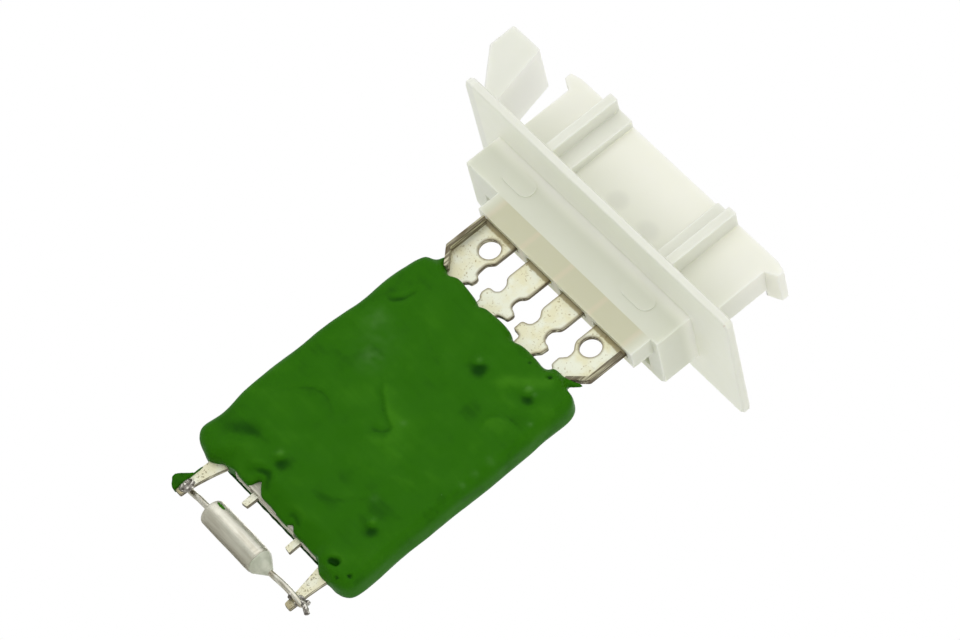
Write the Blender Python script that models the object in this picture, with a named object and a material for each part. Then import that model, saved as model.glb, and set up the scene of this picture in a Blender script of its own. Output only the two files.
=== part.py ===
"""Blower motor resistor: moulded mount, four blade terminals, coated resistor card and a thermal fuse.

Frame: the origin is the centre of the flange's seating face, +Z runs out of the duct to the plug
side, +X along the flange from the grip end, and -Y is the face that carries the terminals' row.
"""

import math

import bmesh
import bpy
from mathutils import Matrix, Vector

MM = 0.001

# Clearance kept between solids that touch on the real part.
FIT = 0.3 * MM

# Flange that seats on the duct.
FLANGE_LENGTH = 53.9 * MM
FLANGE_DEPTH = 23.6 * MM
FLANGE_THICKNESS = 1.35 * MM
FLANGE_CORNER = 1.2 * MM
FLANGE_EDGE = 0.3 * MM

# Plug block below the flange, which fills the duct's cut-out.
PLUG_LENGTH = 39.7 * MM
PLUG_DEPTH = 11.0 * MM
PLUG_HEIGHT = 5.9 * MM
PLUG_X = -1.15 * MM
PLUG_FRONT_Y = -4.2 * MM
PLUG_CHAMFER = 1.1 * MM
PLUG_POCKET_DEPTH = 4.3 * MM
PLUG_POCKET_WALL = 1.5 * MM
PLUG_POCKET_COUNT = 5
PLUG_NUB_LENGTH = 5.8 * MM
PLUG_NUB_HEIGHT = 2.8 * MM
PLUG_NUB_RISE = 0.35 * MM
PLUG_NUB_SPACING = 24.7 * MM
PLUG_NUB_Z = -2.7 * MM

# Nose below the plug block, where the terminals leave the moulding.
NOSE_LENGTH = 31.7 * MM
NOSE_DEPTH = 3.5 * MM
NOSE_DROP = 3.4 * MM

# Row of blade terminals, stamped from one strip and cut apart.
TERMINAL_PITCH = 7.0 * MM
TERMINAL_COUNT = 4
ROW_X = 1.64 * MM
ROW_Y = -2.6 * MM
STOCK = 0.7 * MM
BLADE_WIDTH = 4.8 * MM
BLADE_TIP_Z = 8.0 * MM
BLADE_TIP_TAPER = 1.0 * MM
TEST_HOLE_DROP = 2.65 * MM
TEST_HOLE_DIAMETER = 3.1 * MM
OUTER_WIDTH = 3.95 * MM
FIRST_CORNER_DROP = 4.1 * MM
LAST_CORNER_DROP = 3.4 * MM
BODY_LEFT = 1.9 * MM
BODY_RIGHT = 2.35 * MM
SHOULDER_DROP = 1.05 * MM
WAIST_WIDTH = 2.75 * MM
WAIST_START = 2.0 * MM
WAIST_END = 3.1 * MM
NIB_WIDTH = 5.5 * MM
NIB_START = 4.0 * MM
NIB_END = 5.4 * MM
NECK_WIDTH = 2.6 * MM
NECK_START = 6.6 * MM
WIDE_INTO_NOSE = 0.9 * MM
LIP_THICKNESS = 0.6 * MM
LIP_SLOPE = 2.25 * MM
LIP_INSET = 0.05 * MM
LIP_RISE_FIRST = 1.5 * MM
LIP_RISE_LAST = 0.35 * MM

# Connector shroud above the flange.
SHROUD_LENGTH = 40.0 * MM
SHROUD_DEPTH = 8.8 * MM
SHROUD_TOP_Z = 13.0 * MM
SHROUD_WALL = 1.2 * MM
SHROUD_BACK_CHAMFER = 4.2 * MM
PARTITION_INSET = 3.7 * MM
PARTITION_WALL = 1.0 * MM
RIB_THICKNESS = 1.5 * MM
RIB_LEFT_X = -10.9 * MM
RIB_LEFT_REACH = 4.0 * MM
RIB_RIGHT_X = 13.1 * MM
RIB_RIGHT_REACH = 2.9 * MM
PAD_LENGTH = 3.3 * MM
PAD_LEFT_RISE = 1.5 * MM
PAD_RIGHT_RISE = 1.0 * MM
BARB_REACH = 1.85 * MM
BARB_HEIGHT = 2.4 * MM
BARB_FACE = 1.1 * MM
BARB_LENGTH = 6.4 * MM
BARB_CROWN = 0.45 * MM

# Grip lever standing on the flange's left end.
LEVER_LENGTH = 9.3 * MM
LEVER_INSET = 0.7 * MM
LEVER_TOP_Z = 12.8 * MM
LEVER_ROOT = 1.4 * MM
LEVER_LEAN = 2.65 * MM
LEVER_HEAD = 5.7 * MM
LEVER_HEAD_HEIGHT = 4.3 * MM
LEVER_WALL = 1.4 * MM
LEVER_POCKET_DEPTH = 4.6 * MM

# Resistor card hanging from the terminals.
CARD_X = 1.85 * MM
CARD_WIDTH = 32.4 * MM
CARD_GAP = 9.5 * MM
CARD_HEIGHT = 40.1 * MM
CARD_THICKNESS = 5.4 * MM
CARD_CORNER = 2.6 * MM
CARD_EDGE = 1.5 * MM
PLATE_THICKNESS = 0.5 * MM
PLATE_MARGIN = 2.1 * MM
WINDOW_FROM_LEFT_ARM = 0.95 * MM
WINDOW_FROM_RIGHT_ARM = 0.7 * MM
WINDOW_HEIGHT = 1.1 * MM

# Resistor grid, a stamped meander between the two plates.
RUN_WIDTH = 2.3 * MM
RUN_COUNT = 7
GRID_MARGIN = 0.7 * MM
GRID_DROP = 8.1 * MM

# Rivets through the card.
RIVET_SHANK = 1.8 * MM
RIVET_HEAD = 4.2 * MM
RIVET_HEAD_HEIGHT = 0.5 * MM
RIVET_PAD = 4.6 * MM
RIVET_BUMP_WIDTH = 6.4 * MM
RIVET_BUMP_RISE = 0.65 * MM
RIVET_3_SHIFT = -0.4 * MM
RIVET_3_DROP = 5.5 * MM
RIVET_4_SHIFT = 0.6 * MM
RIVET_4_DROP = 4.6 * MM
RIVET_LEFT_SHIFT = 6.75 * MM
RIVET_LEFT_HEIGHT = 6.3 * MM
RIVET_RIGHT_SHIFT = 0.1 * MM
RIVET_RIGHT_HEIGHT = 8.9 * MM

# Thermal fuse between the two arms below the card.
ARM_ROOT_WIDTH = 3.0 * MM
ARM_TIP_WIDTH = 1.5 * MM
ARM_LENGTH = 6.2 * MM
ARM_LEFT_INSET = 5.6 * MM
ARM_LEFT_LEAN = 0.75 * MM
ARM_RIGHT_INSET = 4.55 * MM
ARM_RIGHT_LEAN = 0.5 * MM
TIE_WIDTH = 1.2 * MM
TIE_REACH = 1.7 * MM
TIE_LEFT_SHIFT = 6.75 * MM
TIE_RIGHT_SHIFT = -6.3 * MM
FUSE_DROP = 4.6 * MM
FUSE_DIAMETER = 4.0 * MM
FUSE_LENGTH = 10.8 * MM
FUSE_SHIFT = -1.45 * MM
FUSE_DOME = 0.8 * MM
FUSE_CRIMP = 0.7 * MM
FUSE_CRIMP_ROLL = 0.3 * MM
SEAL_LENGTH = 1.8 * MM
SEAL_ROOT_DIAMETER = 3.2 * MM
SEAL_SHOULDER = 0.5 * MM
SEAL_TIP_WALL = 0.3 * MM
LEAD_DIAMETER = 1.0 * MM
LEAD_LEFT_OVERRUN = 0.7 * MM
LEAD_RIGHT_OVERRUN = 1.5 * MM
DROP_WIDTH = 2.2 * MM
DROP_DEPTH = 2.0 * MM
DROP_HEIGHT = 2.6 * MM

# Places that follow from the sizes above.
NOSE_Z = -PLUG_HEIGHT - NOSE_DROP
TEST_HOLE_Z = NOSE_Z - TEST_HOLE_DROP
CARD_TOP_Z = NOSE_Z - CARD_GAP
CARD_BOTTOM_Z = CARD_TOP_Z - CARD_HEIGHT
SHROUD_FRONT_Y = ROW_Y - SHROUD_DEPTH / 2
PLATE_INNER_Y = STOCK / 2 + FIT
PLATE_OUTER_Y = PLATE_INNER_Y + PLATE_THICKNESS
ARM_LEFT_X = CARD_X - CARD_WIDTH / 2 + ARM_LEFT_INSET
ARM_RIGHT_X = CARD_X + CARD_WIDTH / 2 - ARM_RIGHT_INSET
ARM_LEFT_TIP_X = ARM_LEFT_X - ARM_LEFT_LEAN
ARM_RIGHT_TIP_X = ARM_RIGHT_X + ARM_RIGHT_LEAN
ARM_TIP_Z = CARD_BOTTOM_Z - ARM_LENGTH
FUSE_Z = CARD_BOTTOM_Z - FUSE_DROP
FUSE_LEFT_X = (ARM_LEFT_TIP_X + ARM_RIGHT_TIP_X - FUSE_LENGTH) / 2 + FUSE_SHIFT
WINDOW_LEFT_X = ARM_LEFT_X + ARM_ROOT_WIDTH / 2 + WINDOW_FROM_LEFT_ARM
WINDOW_RIGHT_X = ARM_RIGHT_X - ARM_ROOT_WIDTH / 2 - WINDOW_FROM_RIGHT_ARM
WINDOW_Z = CARD_BOTTOM_Z + WINDOW_HEIGHT
RIVETS = {
    "terminal_3": (
        ROW_X + TERMINAL_PITCH / 2 + RIVET_3_SHIFT,
        CARD_TOP_Z - RIVET_3_DROP,
    ),
    "terminal_4": (
        ROW_X + 3 * TERMINAL_PITCH / 2 + RIVET_4_SHIFT,
        CARD_TOP_Z - RIVET_4_DROP,
    ),
    "arm_left": (ARM_LEFT_X + RIVET_LEFT_SHIFT, CARD_BOTTOM_Z + RIVET_LEFT_HEIGHT),
    "arm_right": (ARM_RIGHT_X + RIVET_RIGHT_SHIFT, CARD_BOTTOM_Z + RIVET_RIGHT_HEIGHT),
}
GRID_TOP_Z = CARD_TOP_Z - GRID_DROP
GRID_BOTTOM_Z = RIVETS["arm_right"][1] + RIVET_PAD / 2 + FIT
FOOT_END_Z = GRID_TOP_Z + FIT
RUN_PITCH = (CARD_WIDTH - 2 * (PLATE_MARGIN + GRID_MARGIN) - RUN_WIDTH) / RUN_COUNT

# How far a cutter or a joined solid runs past the face it meets.
EMBED = 0.4 * MM

# Points of an outline that lie closer than this are one point.
SAME_POINT = 0.001 * MM

# Steps along a rounded end and along a bent wire.
DOME_STEPS = 4
LEAD_STEPS = 14


def clear_scene():
    """Remove what the file opened with."""
    for scene_object in list(bpy.data.objects):
        bpy.data.objects.remove(scene_object, do_unlink=True)


def principled(name, colour, roughness, metallic=0.0):
    """Return a plain material for one sub-part."""
    material = bpy.data.materials.new(name)
    material.use_nodes = True
    shader = material.node_tree.nodes["Principled BSDF"]
    shader.inputs["Base Color"].default_value = (*colour, 1.0)
    shader.inputs["Roughness"].default_value = roughness
    shader.inputs["Metallic"].default_value = metallic
    return material


def object_from_bmesh(name, mesh_data, smooth=False):
    """Link a new object that holds the given bmesh."""
    bmesh.ops.recalc_face_normals(mesh_data, faces=mesh_data.faces)
    mesh = bpy.data.meshes.new(name)
    mesh_data.to_mesh(mesh)
    mesh_data.free()
    if smooth:
        mesh.shade_smooth()
        mesh.set_sharp_from_angle(angle=math.radians(35))
    new_object = bpy.data.objects.new(name, mesh)
    bpy.context.collection.objects.link(new_object)
    return new_object


def prism(name, outline, axis, low, high):
    """Extrude a closed outline along one axis between two coordinates.

    The outline lies in XZ for axis Y, in XY for axis Z and in YZ for axis X.
    """
    lift = {
        "X": lambda u, v: Vector((low, u, v)),
        "Y": lambda u, v: Vector((u, low, v)),
        "Z": lambda u, v: Vector((u, v, low)),
    }[axis]
    along = {"X": Vector((1, 0, 0)), "Y": Vector((0, 1, 0)), "Z": Vector((0, 0, 1))}[axis]
    mesh_data = bmesh.new()
    face = mesh_data.faces.new([mesh_data.verts.new(lift(u, v)) for u, v in outline])
    extruded = bmesh.ops.extrude_face_region(mesh_data, geom=[face])
    moved = [item for item in extruded["geom"] if isinstance(item, bmesh.types.BMVert)]
    bmesh.ops.translate(mesh_data, verts=moved, vec=along * (high - low))
    return object_from_bmesh(name, mesh_data)


def rectangle(low_u, high_u, low_v, high_v):
    """Return the outline of a plain rectangle."""
    return [(low_u, low_v), (high_u, low_v), (high_u, high_v), (low_u, high_v)]


def rounded_rectangle(low_u, high_u, low_v, high_v, radius, steps=4):
    """Return the outline of a rectangle with round corners."""
    centres = (
        (high_u - radius, high_v - radius, 0),
        (low_u + radius, high_v - radius, 90),
        (low_u + radius, low_v + radius, 180),
        (high_u - radius, low_v + radius, 270),
    )
    outline = []
    for centre_u, centre_v, start in centres:
        for step in range(steps + 1):
            angle = math.radians(start + 90 * step / steps)
            point = (centre_u + radius * math.cos(angle), centre_v + radius * math.sin(angle))
            if all(math.dist(point, other) > SAME_POINT for other in outline):
                outline.append(point)
    return outline


def cylinder(name, centre, axis, radius, length, sides=24):
    """Return a round bar centred on a point and lying along one axis."""
    mesh_data = bmesh.new()
    bmesh.ops.create_cone(
        mesh_data, cap_ends=True, segments=sides, radius1=radius, radius2=radius, depth=length
    )
    if axis != "Z":
        turn = Matrix.Rotation(math.radians(90), 3, "Y" if axis == "X" else "X")
        bmesh.ops.rotate(mesh_data, verts=mesh_data.verts, matrix=turn)
    bmesh.ops.translate(mesh_data, verts=mesh_data.verts, vec=Vector(centre))
    return object_from_bmesh(name, mesh_data)


def revolve(name, profile, axis_point, sides=24):
    """Spin a profile of (distance along X, radius) pairs about an axis parallel to X."""
    mesh_data = bmesh.new()
    rings = []
    for along, radius in profile:
        ring = []
        for step in range(sides if radius > SAME_POINT else 1):
            angle = math.tau * step / sides
            spoke = Vector((along, radius * math.cos(angle), radius * math.sin(angle)))
            ring.append(mesh_data.verts.new(axis_point + spoke))
        rings.append(ring)
    for first, second in zip(rings, rings[1:]):
        for step in range(sides):
            corners = [first[step % len(first)], first[(step + 1) % len(first)]]
            corners += [second[(step + 1) % len(second)], second[step % len(second)]]
            mesh_data.faces.new(list(dict.fromkeys(corners)))
    return object_from_bmesh(name, mesh_data, smooth=True)


def ellipsoid(name, centre, half_sizes, sides=20, rings=10):
    """Return a stretched ball."""
    mesh_data = bmesh.new()
    bmesh.ops.create_uvsphere(mesh_data, u_segments=sides, v_segments=rings, radius=1.0)
    bmesh.ops.scale(mesh_data, verts=mesh_data.verts, vec=Vector(half_sizes))
    bmesh.ops.translate(mesh_data, verts=mesh_data.verts, vec=Vector(centre))
    return object_from_bmesh(name, mesh_data)


def bevel(target, width, segments=1, angle=40):
    """Round or chamfer the edges of an object that are sharper than the angle in degrees."""
    modifier = target.modifiers.new("Edges", "BEVEL")
    modifier.width = width
    modifier.segments = segments
    modifier.limit_method = "ANGLE"
    modifier.angle_limit = math.radians(angle)
    return target


def combine(target, operation, helpers):
    """Join helper solids to the target, or cut them out of it."""
    group = bpy.data.collections.new(f"{target.name}_{operation.lower()}")
    bpy.context.scene.collection.children.link(group)
    for helper in helpers:
        for owner in list(helper.users_collection):
            owner.objects.unlink(helper)
        group.objects.link(helper)
        helper.hide_render = True
        helper.display_type = "WIRE"
    modifier = target.modifiers.new(operation.title(), "BOOLEAN")
    modifier.operation = operation
    modifier.operand_type = "COLLECTION"
    modifier.collection = group
    modifier.solver = "EXACT"
    return target


def finish(target, material):
    """Give a sub-part its material."""
    target.data.materials.append(material)
    return target


def terminal_x(index):
    """Return the centre of one blade of the row, counted from zero at the grip end."""
    return ROW_X + (index - (TERMINAL_COUNT - 1) / 2) * TERMINAL_PITCH


def run_x(index):
    """Return the centre of one upright strip in the card, the grid's runs counted from one."""
    return CARD_X + (index - RUN_COUNT / 2) * RUN_PITCH


# Moulded mount.


def plug_pockets():
    """Return the cores that keep the plug block's wall even, behind the nose."""
    left = PLUG_X - PLUG_LENGTH / 2 + 2 * PLUG_POCKET_WALL
    right = PLUG_X + PLUG_LENGTH / 2 - 2 * PLUG_POCKET_WALL
    front = PLUG_FRONT_Y + NOSE_DEPTH + PLUG_POCKET_WALL
    back = PLUG_FRONT_Y + PLUG_DEPTH - PLUG_POCKET_WALL
    pitch = (right - left + PLUG_POCKET_WALL) / PLUG_POCKET_COUNT
    cores = []
    for index in range(PLUG_POCKET_COUNT):
        start = left + index * pitch
        outline = rectangle(start, start + pitch - PLUG_POCKET_WALL, front, back)
        low = -PLUG_HEIGHT - EMBED
        cores.append(prism(f"plug_core_{index + 1}", outline, "Z", low, -PLUG_HEIGHT + PLUG_POCKET_DEPTH))
    return cores


def plug_nubs():
    """Return the two oval nubs that grip the cut-out, on the plug block's front face."""
    nubs = []
    for side in (-1, 1):
        centre = PLUG_X + side * PLUG_NUB_SPACING / 2
        outline = rounded_rectangle(
            centre - PLUG_NUB_LENGTH / 2,
            centre + PLUG_NUB_LENGTH / 2,
            PLUG_NUB_Z - PLUG_NUB_HEIGHT / 2,
            PLUG_NUB_Z + PLUG_NUB_HEIGHT / 2,
            PLUG_NUB_HEIGHT / 2,
        )
        nubs.append(prism("plug_nub", outline, "Y", PLUG_FRONT_Y - PLUG_NUB_RISE, PLUG_FRONT_Y + EMBED))
    return nubs


def plug_block():
    """Return the plug block, with its outer corners chamfered."""
    left = PLUG_X - PLUG_LENGTH / 2
    right = PLUG_X + PLUG_LENGTH / 2
    back = PLUG_FRONT_Y + PLUG_DEPTH
    chamfer = PLUG_CHAMFER
    outline = [
        (left, PLUG_FRONT_Y),
        (right, PLUG_FRONT_Y),
        (right, back - chamfer),
        (right - chamfer, back),
        (left + chamfer, back),
        (left, back - chamfer),
    ]
    return prism("plug_block", outline, "Z", -PLUG_HEIGHT, EMBED)


def nose_block():
    """Return the nose that the terminals leave by."""
    half = NOSE_LENGTH / 2
    outline = rectangle(ROW_X - half, ROW_X + half, PLUG_FRONT_Y, PLUG_FRONT_Y + NOSE_DEPTH)
    return prism("nose_block", outline, "Z", NOSE_Z, -PLUG_HEIGHT + EMBED)


def shroud_outline(inset):
    """Return the shroud's plan, square in front and chamfered behind, moved in by a wall."""
    left = ROW_X - SHROUD_LENGTH / 2 + inset
    right = ROW_X + SHROUD_LENGTH / 2 - inset
    front = SHROUD_FRONT_Y + inset
    back = SHROUD_FRONT_Y + SHROUD_DEPTH - inset
    chamfer = SHROUD_BACK_CHAMFER - inset * (2 - math.sqrt(2))
    return [
        (left, front),
        (right, front),
        (right, back - chamfer),
        (right - chamfer, back),
        (left + chamfer, back),
        (left, back - chamfer),
    ]


def shroud_cavities():
    """Return the socket between the two partitions and the latch chamber at each end."""
    left = ROW_X - SHROUD_LENGTH / 2
    right = ROW_X + SHROUD_LENGTH / 2
    inner = shroud_outline(SHROUD_WALL)
    low = FLANGE_THICKNESS
    high = SHROUD_TOP_Z + EMBED
    front = inner[0][1]
    back = inner[3][1]
    socket_left = left + PARTITION_INSET + PARTITION_WALL / 2
    socket_right = right - PARTITION_INSET - PARTITION_WALL / 2
    cuts = [prism("socket_cut", rectangle(socket_left, socket_right, front, back), "Z", low, high)]
    for corner, wall in ((0, socket_left - PARTITION_WALL), (1, socket_right + PARTITION_WALL)):
        end = inner[corner][0]
        turn = inner[5 if corner == 0 else 2][1]
        depth = turn + abs(wall - end)
        outline = [(end, front), (wall, front), (wall, depth), (end, turn)]
        cuts.append(prism("latch_cut", outline, "Z", low, high))
    return cuts


def barb(side):
    """Return the catch along the shroud's end wall, for the plug's latch arm."""
    wall = ROW_X + side * SHROUD_LENGTH / 2
    tip = wall + side * BARB_REACH
    outline = [
        (wall - side * EMBED, SHROUD_TOP_Z - BARB_HEIGHT),
        (wall, SHROUD_TOP_Z - BARB_HEIGHT),
        (tip, SHROUD_TOP_Z - BARB_CROWN - BARB_FACE),
        (tip, SHROUD_TOP_Z - BARB_CROWN),
        (wall, SHROUD_TOP_Z),
        (wall - side * EMBED, SHROUD_TOP_Z),
    ]
    return prism("barb", outline, "Y", SHROUD_FRONT_Y, SHROUD_FRONT_Y + BARB_LENGTH)


def keying_ribs():
    """Return the two unequal ribs that key the plug, each with the pad at its root."""
    low = FLANGE_THICKNESS - EMBED
    root = SHROUD_FRONT_Y + EMBED
    half = RIB_THICKNESS / 2
    solids = []
    sides = (
        (RIB_LEFT_X, RIB_LEFT_REACH, PAD_LEFT_RISE, 1),
        (RIB_RIGHT_X, RIB_RIGHT_REACH, PAD_RIGHT_RISE, -1),
    )
    for centre, reach, rise, inward in sides:
        rib = rectangle(centre - half, centre + half, SHROUD_FRONT_Y - reach, root)
        solids.append(prism("key_rib", rib, "Z", low, SHROUD_TOP_Z))
        ends = sorted((centre, centre + inward * PAD_LENGTH))
        pad = rectangle(ends[0], ends[1], SHROUD_FRONT_Y - rise, root)
        solids.append(prism("key_pad", pad, "Z", low, SHROUD_TOP_Z))
    return solids


def lever_outline(end_x):
    """Return the grip lever's profile, thin at its root and thick at its head."""
    root_z = FLANGE_THICKNESS - EMBED
    inner_top = end_x + LEVER_ROOT - LEVER_LEAN
    outer_top = inner_top - LEVER_HEAD
    return [
        (end_x, root_z),
        (end_x + LEVER_ROOT, root_z),
        (inner_top, LEVER_TOP_Z),
        (outer_top, LEVER_TOP_Z),
        (outer_top, LEVER_TOP_Z - LEVER_HEAD_HEIGHT),
        (end_x, FLANGE_THICKNESS),
    ]


def grip_lever():
    """Return the grip lever and the core that hollows its head from above."""
    end_x = -FLANGE_LENGTH / 2 + LEVER_INSET
    half = LEVER_LENGTH / 2
    solid = bevel(prism("lever_solid", lever_outline(end_x), "Y", -half, half), FLANGE_EDGE)
    inner_top = end_x + LEVER_ROOT - LEVER_LEAN
    low = LEVER_TOP_Z - LEVER_POCKET_DEPTH
    core_outline = [
        (inner_top - LEVER_HEAD + LEVER_WALL, LEVER_TOP_Z + EMBED),
        (inner_top - LEVER_HEAD + LEVER_WALL, low + LEVER_WALL),
        (inner_top - LEVER_HEAD + 2 * LEVER_WALL, low),
        (inner_top - LEVER_WALL, low),
        (inner_top - LEVER_WALL, LEVER_TOP_Z + EMBED),
    ]
    core = prism("lever_core", core_outline, "Y", -half + LEVER_WALL, half - LEVER_WALL)
    return solid, core


def terminal_slots():
    """Return the cuts that the four blades pass through, wider where an outer one enters the nose."""
    low = NOSE_Z - EMBED
    high = FLANGE_THICKNESS + EMBED
    front = ROW_Y - STOCK / 2 - FIT
    back = ROW_Y + STOCK / 2 + FIT
    slots = []
    for index in range(TERMINAL_COUNT):
        left = terminal_x(index) - BLADE_WIDTH / 2 - FIT
        right = terminal_x(index) + BLADE_WIDTH / 2 + FIT
        slots.append(prism("blade_slot", rectangle(left, right, front, back), "Z", low, high))
        if index == 0:
            left = terminal_x(index) - OUTER_WIDTH - FIT
        if index == TERMINAL_COUNT - 1:
            right = terminal_x(index) + OUTER_WIDTH + FIT
        if index in (0, TERMINAL_COUNT - 1):
            wide_top = NOSE_Z + WIDE_INTO_NOSE + FIT
            slots.append(prism("wide_slot", rectangle(left, right, front, back), "Z", low, wide_top))
    return slots


def mount_housing(material):
    """Make the one-piece moulding of flange, plug block, nose, shroud and grip lever."""
    half_length = FLANGE_LENGTH / 2
    half_depth = FLANGE_DEPTH / 2
    plan = rounded_rectangle(-half_length, half_length, -half_depth, half_depth, FLANGE_CORNER)
    housing = bevel(prism("mount_housing", plan, "Z", 0.0, FLANGE_THICKNESS), FLANGE_EDGE)
    shroud = prism("shroud_solid", shroud_outline(0.0), "Z", FLANGE_THICKNESS - EMBED, SHROUD_TOP_Z)
    lever, lever_core = grip_lever()
    joined = [plug_block(), nose_block(), shroud, barb(-1), barb(1), lever]
    combine(housing, "UNION", joined + keying_ribs() + plug_nubs())
    combine(housing, "DIFFERENCE", shroud_cavities() + terminal_slots() + plug_pockets() + [lever_core])
    return finish(housing, material)


# Terminals.


def inner_edge(side, centre):
    """Return the cut edge of a terminal on its tie-bar side, from the nose down to the neck."""
    body = BODY_RIGHT if side > 0 else BODY_LEFT
    high = NOSE_Z + WIDE_INTO_NOSE
    stations = (
        (BLADE_WIDTH / 2, high),
        (body, high),
        (body, TEST_HOLE_Z - SHOULDER_DROP),
        (WAIST_WIDTH / 2, TEST_HOLE_Z - WAIST_START),
        (WAIST_WIDTH / 2, TEST_HOLE_Z - WAIST_END),
        (NIB_WIDTH / 2, TEST_HOLE_Z - NIB_START),
        (NIB_WIDTH / 2, TEST_HOLE_Z - NIB_END),
        (NECK_WIDTH / 2, TEST_HOLE_Z - NECK_START),
    )
    return [(centre + side * reach, z) for reach, z in stations]


def corner_z(side):
    """Return the height at which an end terminal's outer edge turns in towards the neck."""
    return TEST_HOLE_Z - (LAST_CORNER_DROP if side > 0 else FIRST_CORNER_DROP)


def outer_edge(side, centre):
    """Return the outer edge of an end terminal, from inside the nose down to the neck."""
    wide_top = NOSE_Z + WIDE_INTO_NOSE
    run_in = OUTER_WIDTH - NECK_WIDTH / 2
    corner = corner_z(side)
    return [
        (centre + side * BLADE_WIDTH / 2, wide_top),
        (centre + side * OUTER_WIDTH, wide_top),
        (centre + side * OUTER_WIDTH, corner),
        (centre + side * NECK_WIDTH / 2, corner - run_in),
    ]


def foot_outline(index, side):
    """Return one side of a terminal's foot inside the card, below the neck."""
    centre = terminal_x(index)
    neck = centre + side * NECK_WIDTH / 2
    if index > 1:
        return [(neck, FOOT_END_Z)]
    first_bar = CARD_TOP_Z - PLATE_MARGIN - FIT
    bar_top = first_bar if index == 0 else first_bar - RUN_WIDTH - 2 * FIT
    turn = bar_top if side < 0 else bar_top - RUN_WIDTH
    end = arm_bar_top() + FIT if index == 0 else FOOT_END_Z
    strip = run_x(index) + side * RUN_WIDTH / 2
    return [(neck, turn), (strip, turn), (strip, end)]


def arm_bar_top():
    """Return the top of the bar that joins an arm to its rivet pad, on the left."""
    return RIVETS["arm_left"][1] + RUN_WIDTH / 2


def lip_outline(side, centre):
    """Return the strip along an end terminal's outer edge that is bent forwards."""
    top = NOSE_Z - FIT
    corner = corner_z(side) + LIP_INSET * math.tan(math.pi / 8)
    outer = centre + side * (OUTER_WIDTH - LIP_INSET)
    mitre = LIP_THICKNESS * math.tan(math.pi / 8)
    back = LIP_THICKNESS / math.sqrt(2)
    return [
        (outer, top),
        (outer, corner),
        (outer - side * LIP_SLOPE, corner - LIP_SLOPE),
        (outer - side * (LIP_SLOPE + back), corner - LIP_SLOPE + back),
        (outer - side * LIP_THICKNESS, corner + mitre),
        (outer - side * LIP_THICKNESS, top),
    ]


def terminal(index, material):
    """Make one blade terminal, from its tip in the socket down to its foot in the card."""
    centre = terminal_x(index)
    half = BLADE_WIDTH / 2
    last = TERMINAL_COUNT - 1
    right = outer_edge(1, centre) if index == last else []
    left = outer_edge(-1, centre) if index == 0 else []
    right = right or inner_edge(1, centre)
    left = left or inner_edge(-1, centre)
    tip = [
        (centre - half, BLADE_TIP_Z - BLADE_TIP_TAPER),
        (centre - half + BLADE_TIP_TAPER, BLADE_TIP_Z),
        (centre + half - BLADE_TIP_TAPER, BLADE_TIP_Z),
        (centre + half, BLADE_TIP_Z - BLADE_TIP_TAPER),
    ]
    outline = tip + right + foot_outline(index, 1) + (left + foot_outline(index, -1))[::-1]
    front = ROW_Y - STOCK / 2
    back = ROW_Y + STOCK / 2
    blade = prism(f"terminal_{index + 1}", outline, "Y", front, back)
    joined = []
    cuts = []
    if index in (0, last):
        side = -1 if index == 0 else 1
        rise = LIP_RISE_FIRST if index == 0 else LIP_RISE_LAST
        joined.append(prism("lip", lip_outline(side, centre), "Y", front - rise, back - EMBED / 2))
        hole = (centre, ROW_Y, TEST_HOLE_Z)
        cuts.append(cylinder("test_hole", hole, "Y", TEST_HOLE_DIAMETER / 2, 4 * STOCK, sides=32))
    name = blade.name
    if name in RIVETS:
        joined.append(rivet_pad(name))
        cuts.append(rivet_hole(name))
    if joined:
        combine(blade, "UNION", joined)
    if cuts:
        combine(blade, "DIFFERENCE", cuts)
    return finish(blade, material)


# Card.


def rivet_pad(name):
    """Return the round pad of stock about a rivet."""
    x, z = RIVETS[name]
    return cylinder("rivet_pad", (x, ROW_Y, z), "Y", RIVET_PAD / 2, STOCK, sides=24)


def rivet_hole(name):
    """Return the cutter for a rivet's clearance hole through stock and plates."""
    x, z = RIVETS[name]
    return cylinder("rivet_hole", (x, ROW_Y, z), "Y", RIVET_SHANK / 2 + FIT, CARD_THICKNESS, sides=20)


def resistor_grid(material):
    """Make the meander that drops the voltage, a blank slit from its two ends in turn."""
    half = RUN_WIDTH / 2
    blank = rectangle(run_x(1) - half, run_x(RUN_COUNT) + half, GRID_BOTTOM_Z, GRID_TOP_Z)
    grid = prism("resistor_grid", blank, "Y", ROW_Y - STOCK / 2, ROW_Y + STOCK / 2)
    slits = []
    for index in range(1, RUN_COUNT):
        low = GRID_BOTTOM_Z - EMBED if index % 2 == 0 else GRID_BOTTOM_Z + RUN_WIDTH
        high = GRID_TOP_Z - RUN_WIDTH if index % 2 == 0 else GRID_TOP_Z + EMBED
        outline = rectangle(run_x(index) + half, run_x(index + 1) - half, low, high)
        slits.append(prism("run_slit", outline, "Y", ROW_Y - STOCK, ROW_Y + STOCK))
    combine(grid, "DIFFERENCE", slits)
    return finish(grid, material)


def insulator(name, side, material):
    """Make one plate of the card's sandwich, in front of or behind the stamping."""
    half = CARD_WIDTH / 2 - PLATE_MARGIN
    top = CARD_TOP_Z - PLATE_MARGIN
    shelf = CARD_BOTTOM_Z + PLATE_MARGIN + FIT
    outline = [
        (CARD_X + half, top),
        (CARD_X - half, top),
        (CARD_X - half, shelf),
        (WINDOW_LEFT_X + FIT, shelf),
        (WINDOW_LEFT_X + FIT, WINDOW_Z),
        (WINDOW_RIGHT_X - FIT, WINDOW_Z),
        (WINDOW_RIGHT_X - FIT, shelf),
        (CARD_X + half, shelf),
    ]
    faces = sorted((ROW_Y + side * PLATE_INNER_Y, ROW_Y + side * PLATE_OUTER_Y))
    plate = prism(name, outline, "Y", faces[0], faces[1])
    combine(plate, "DIFFERENCE", [rivet_hole(place) for place in RIVETS])
    return finish(plate, material)


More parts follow.
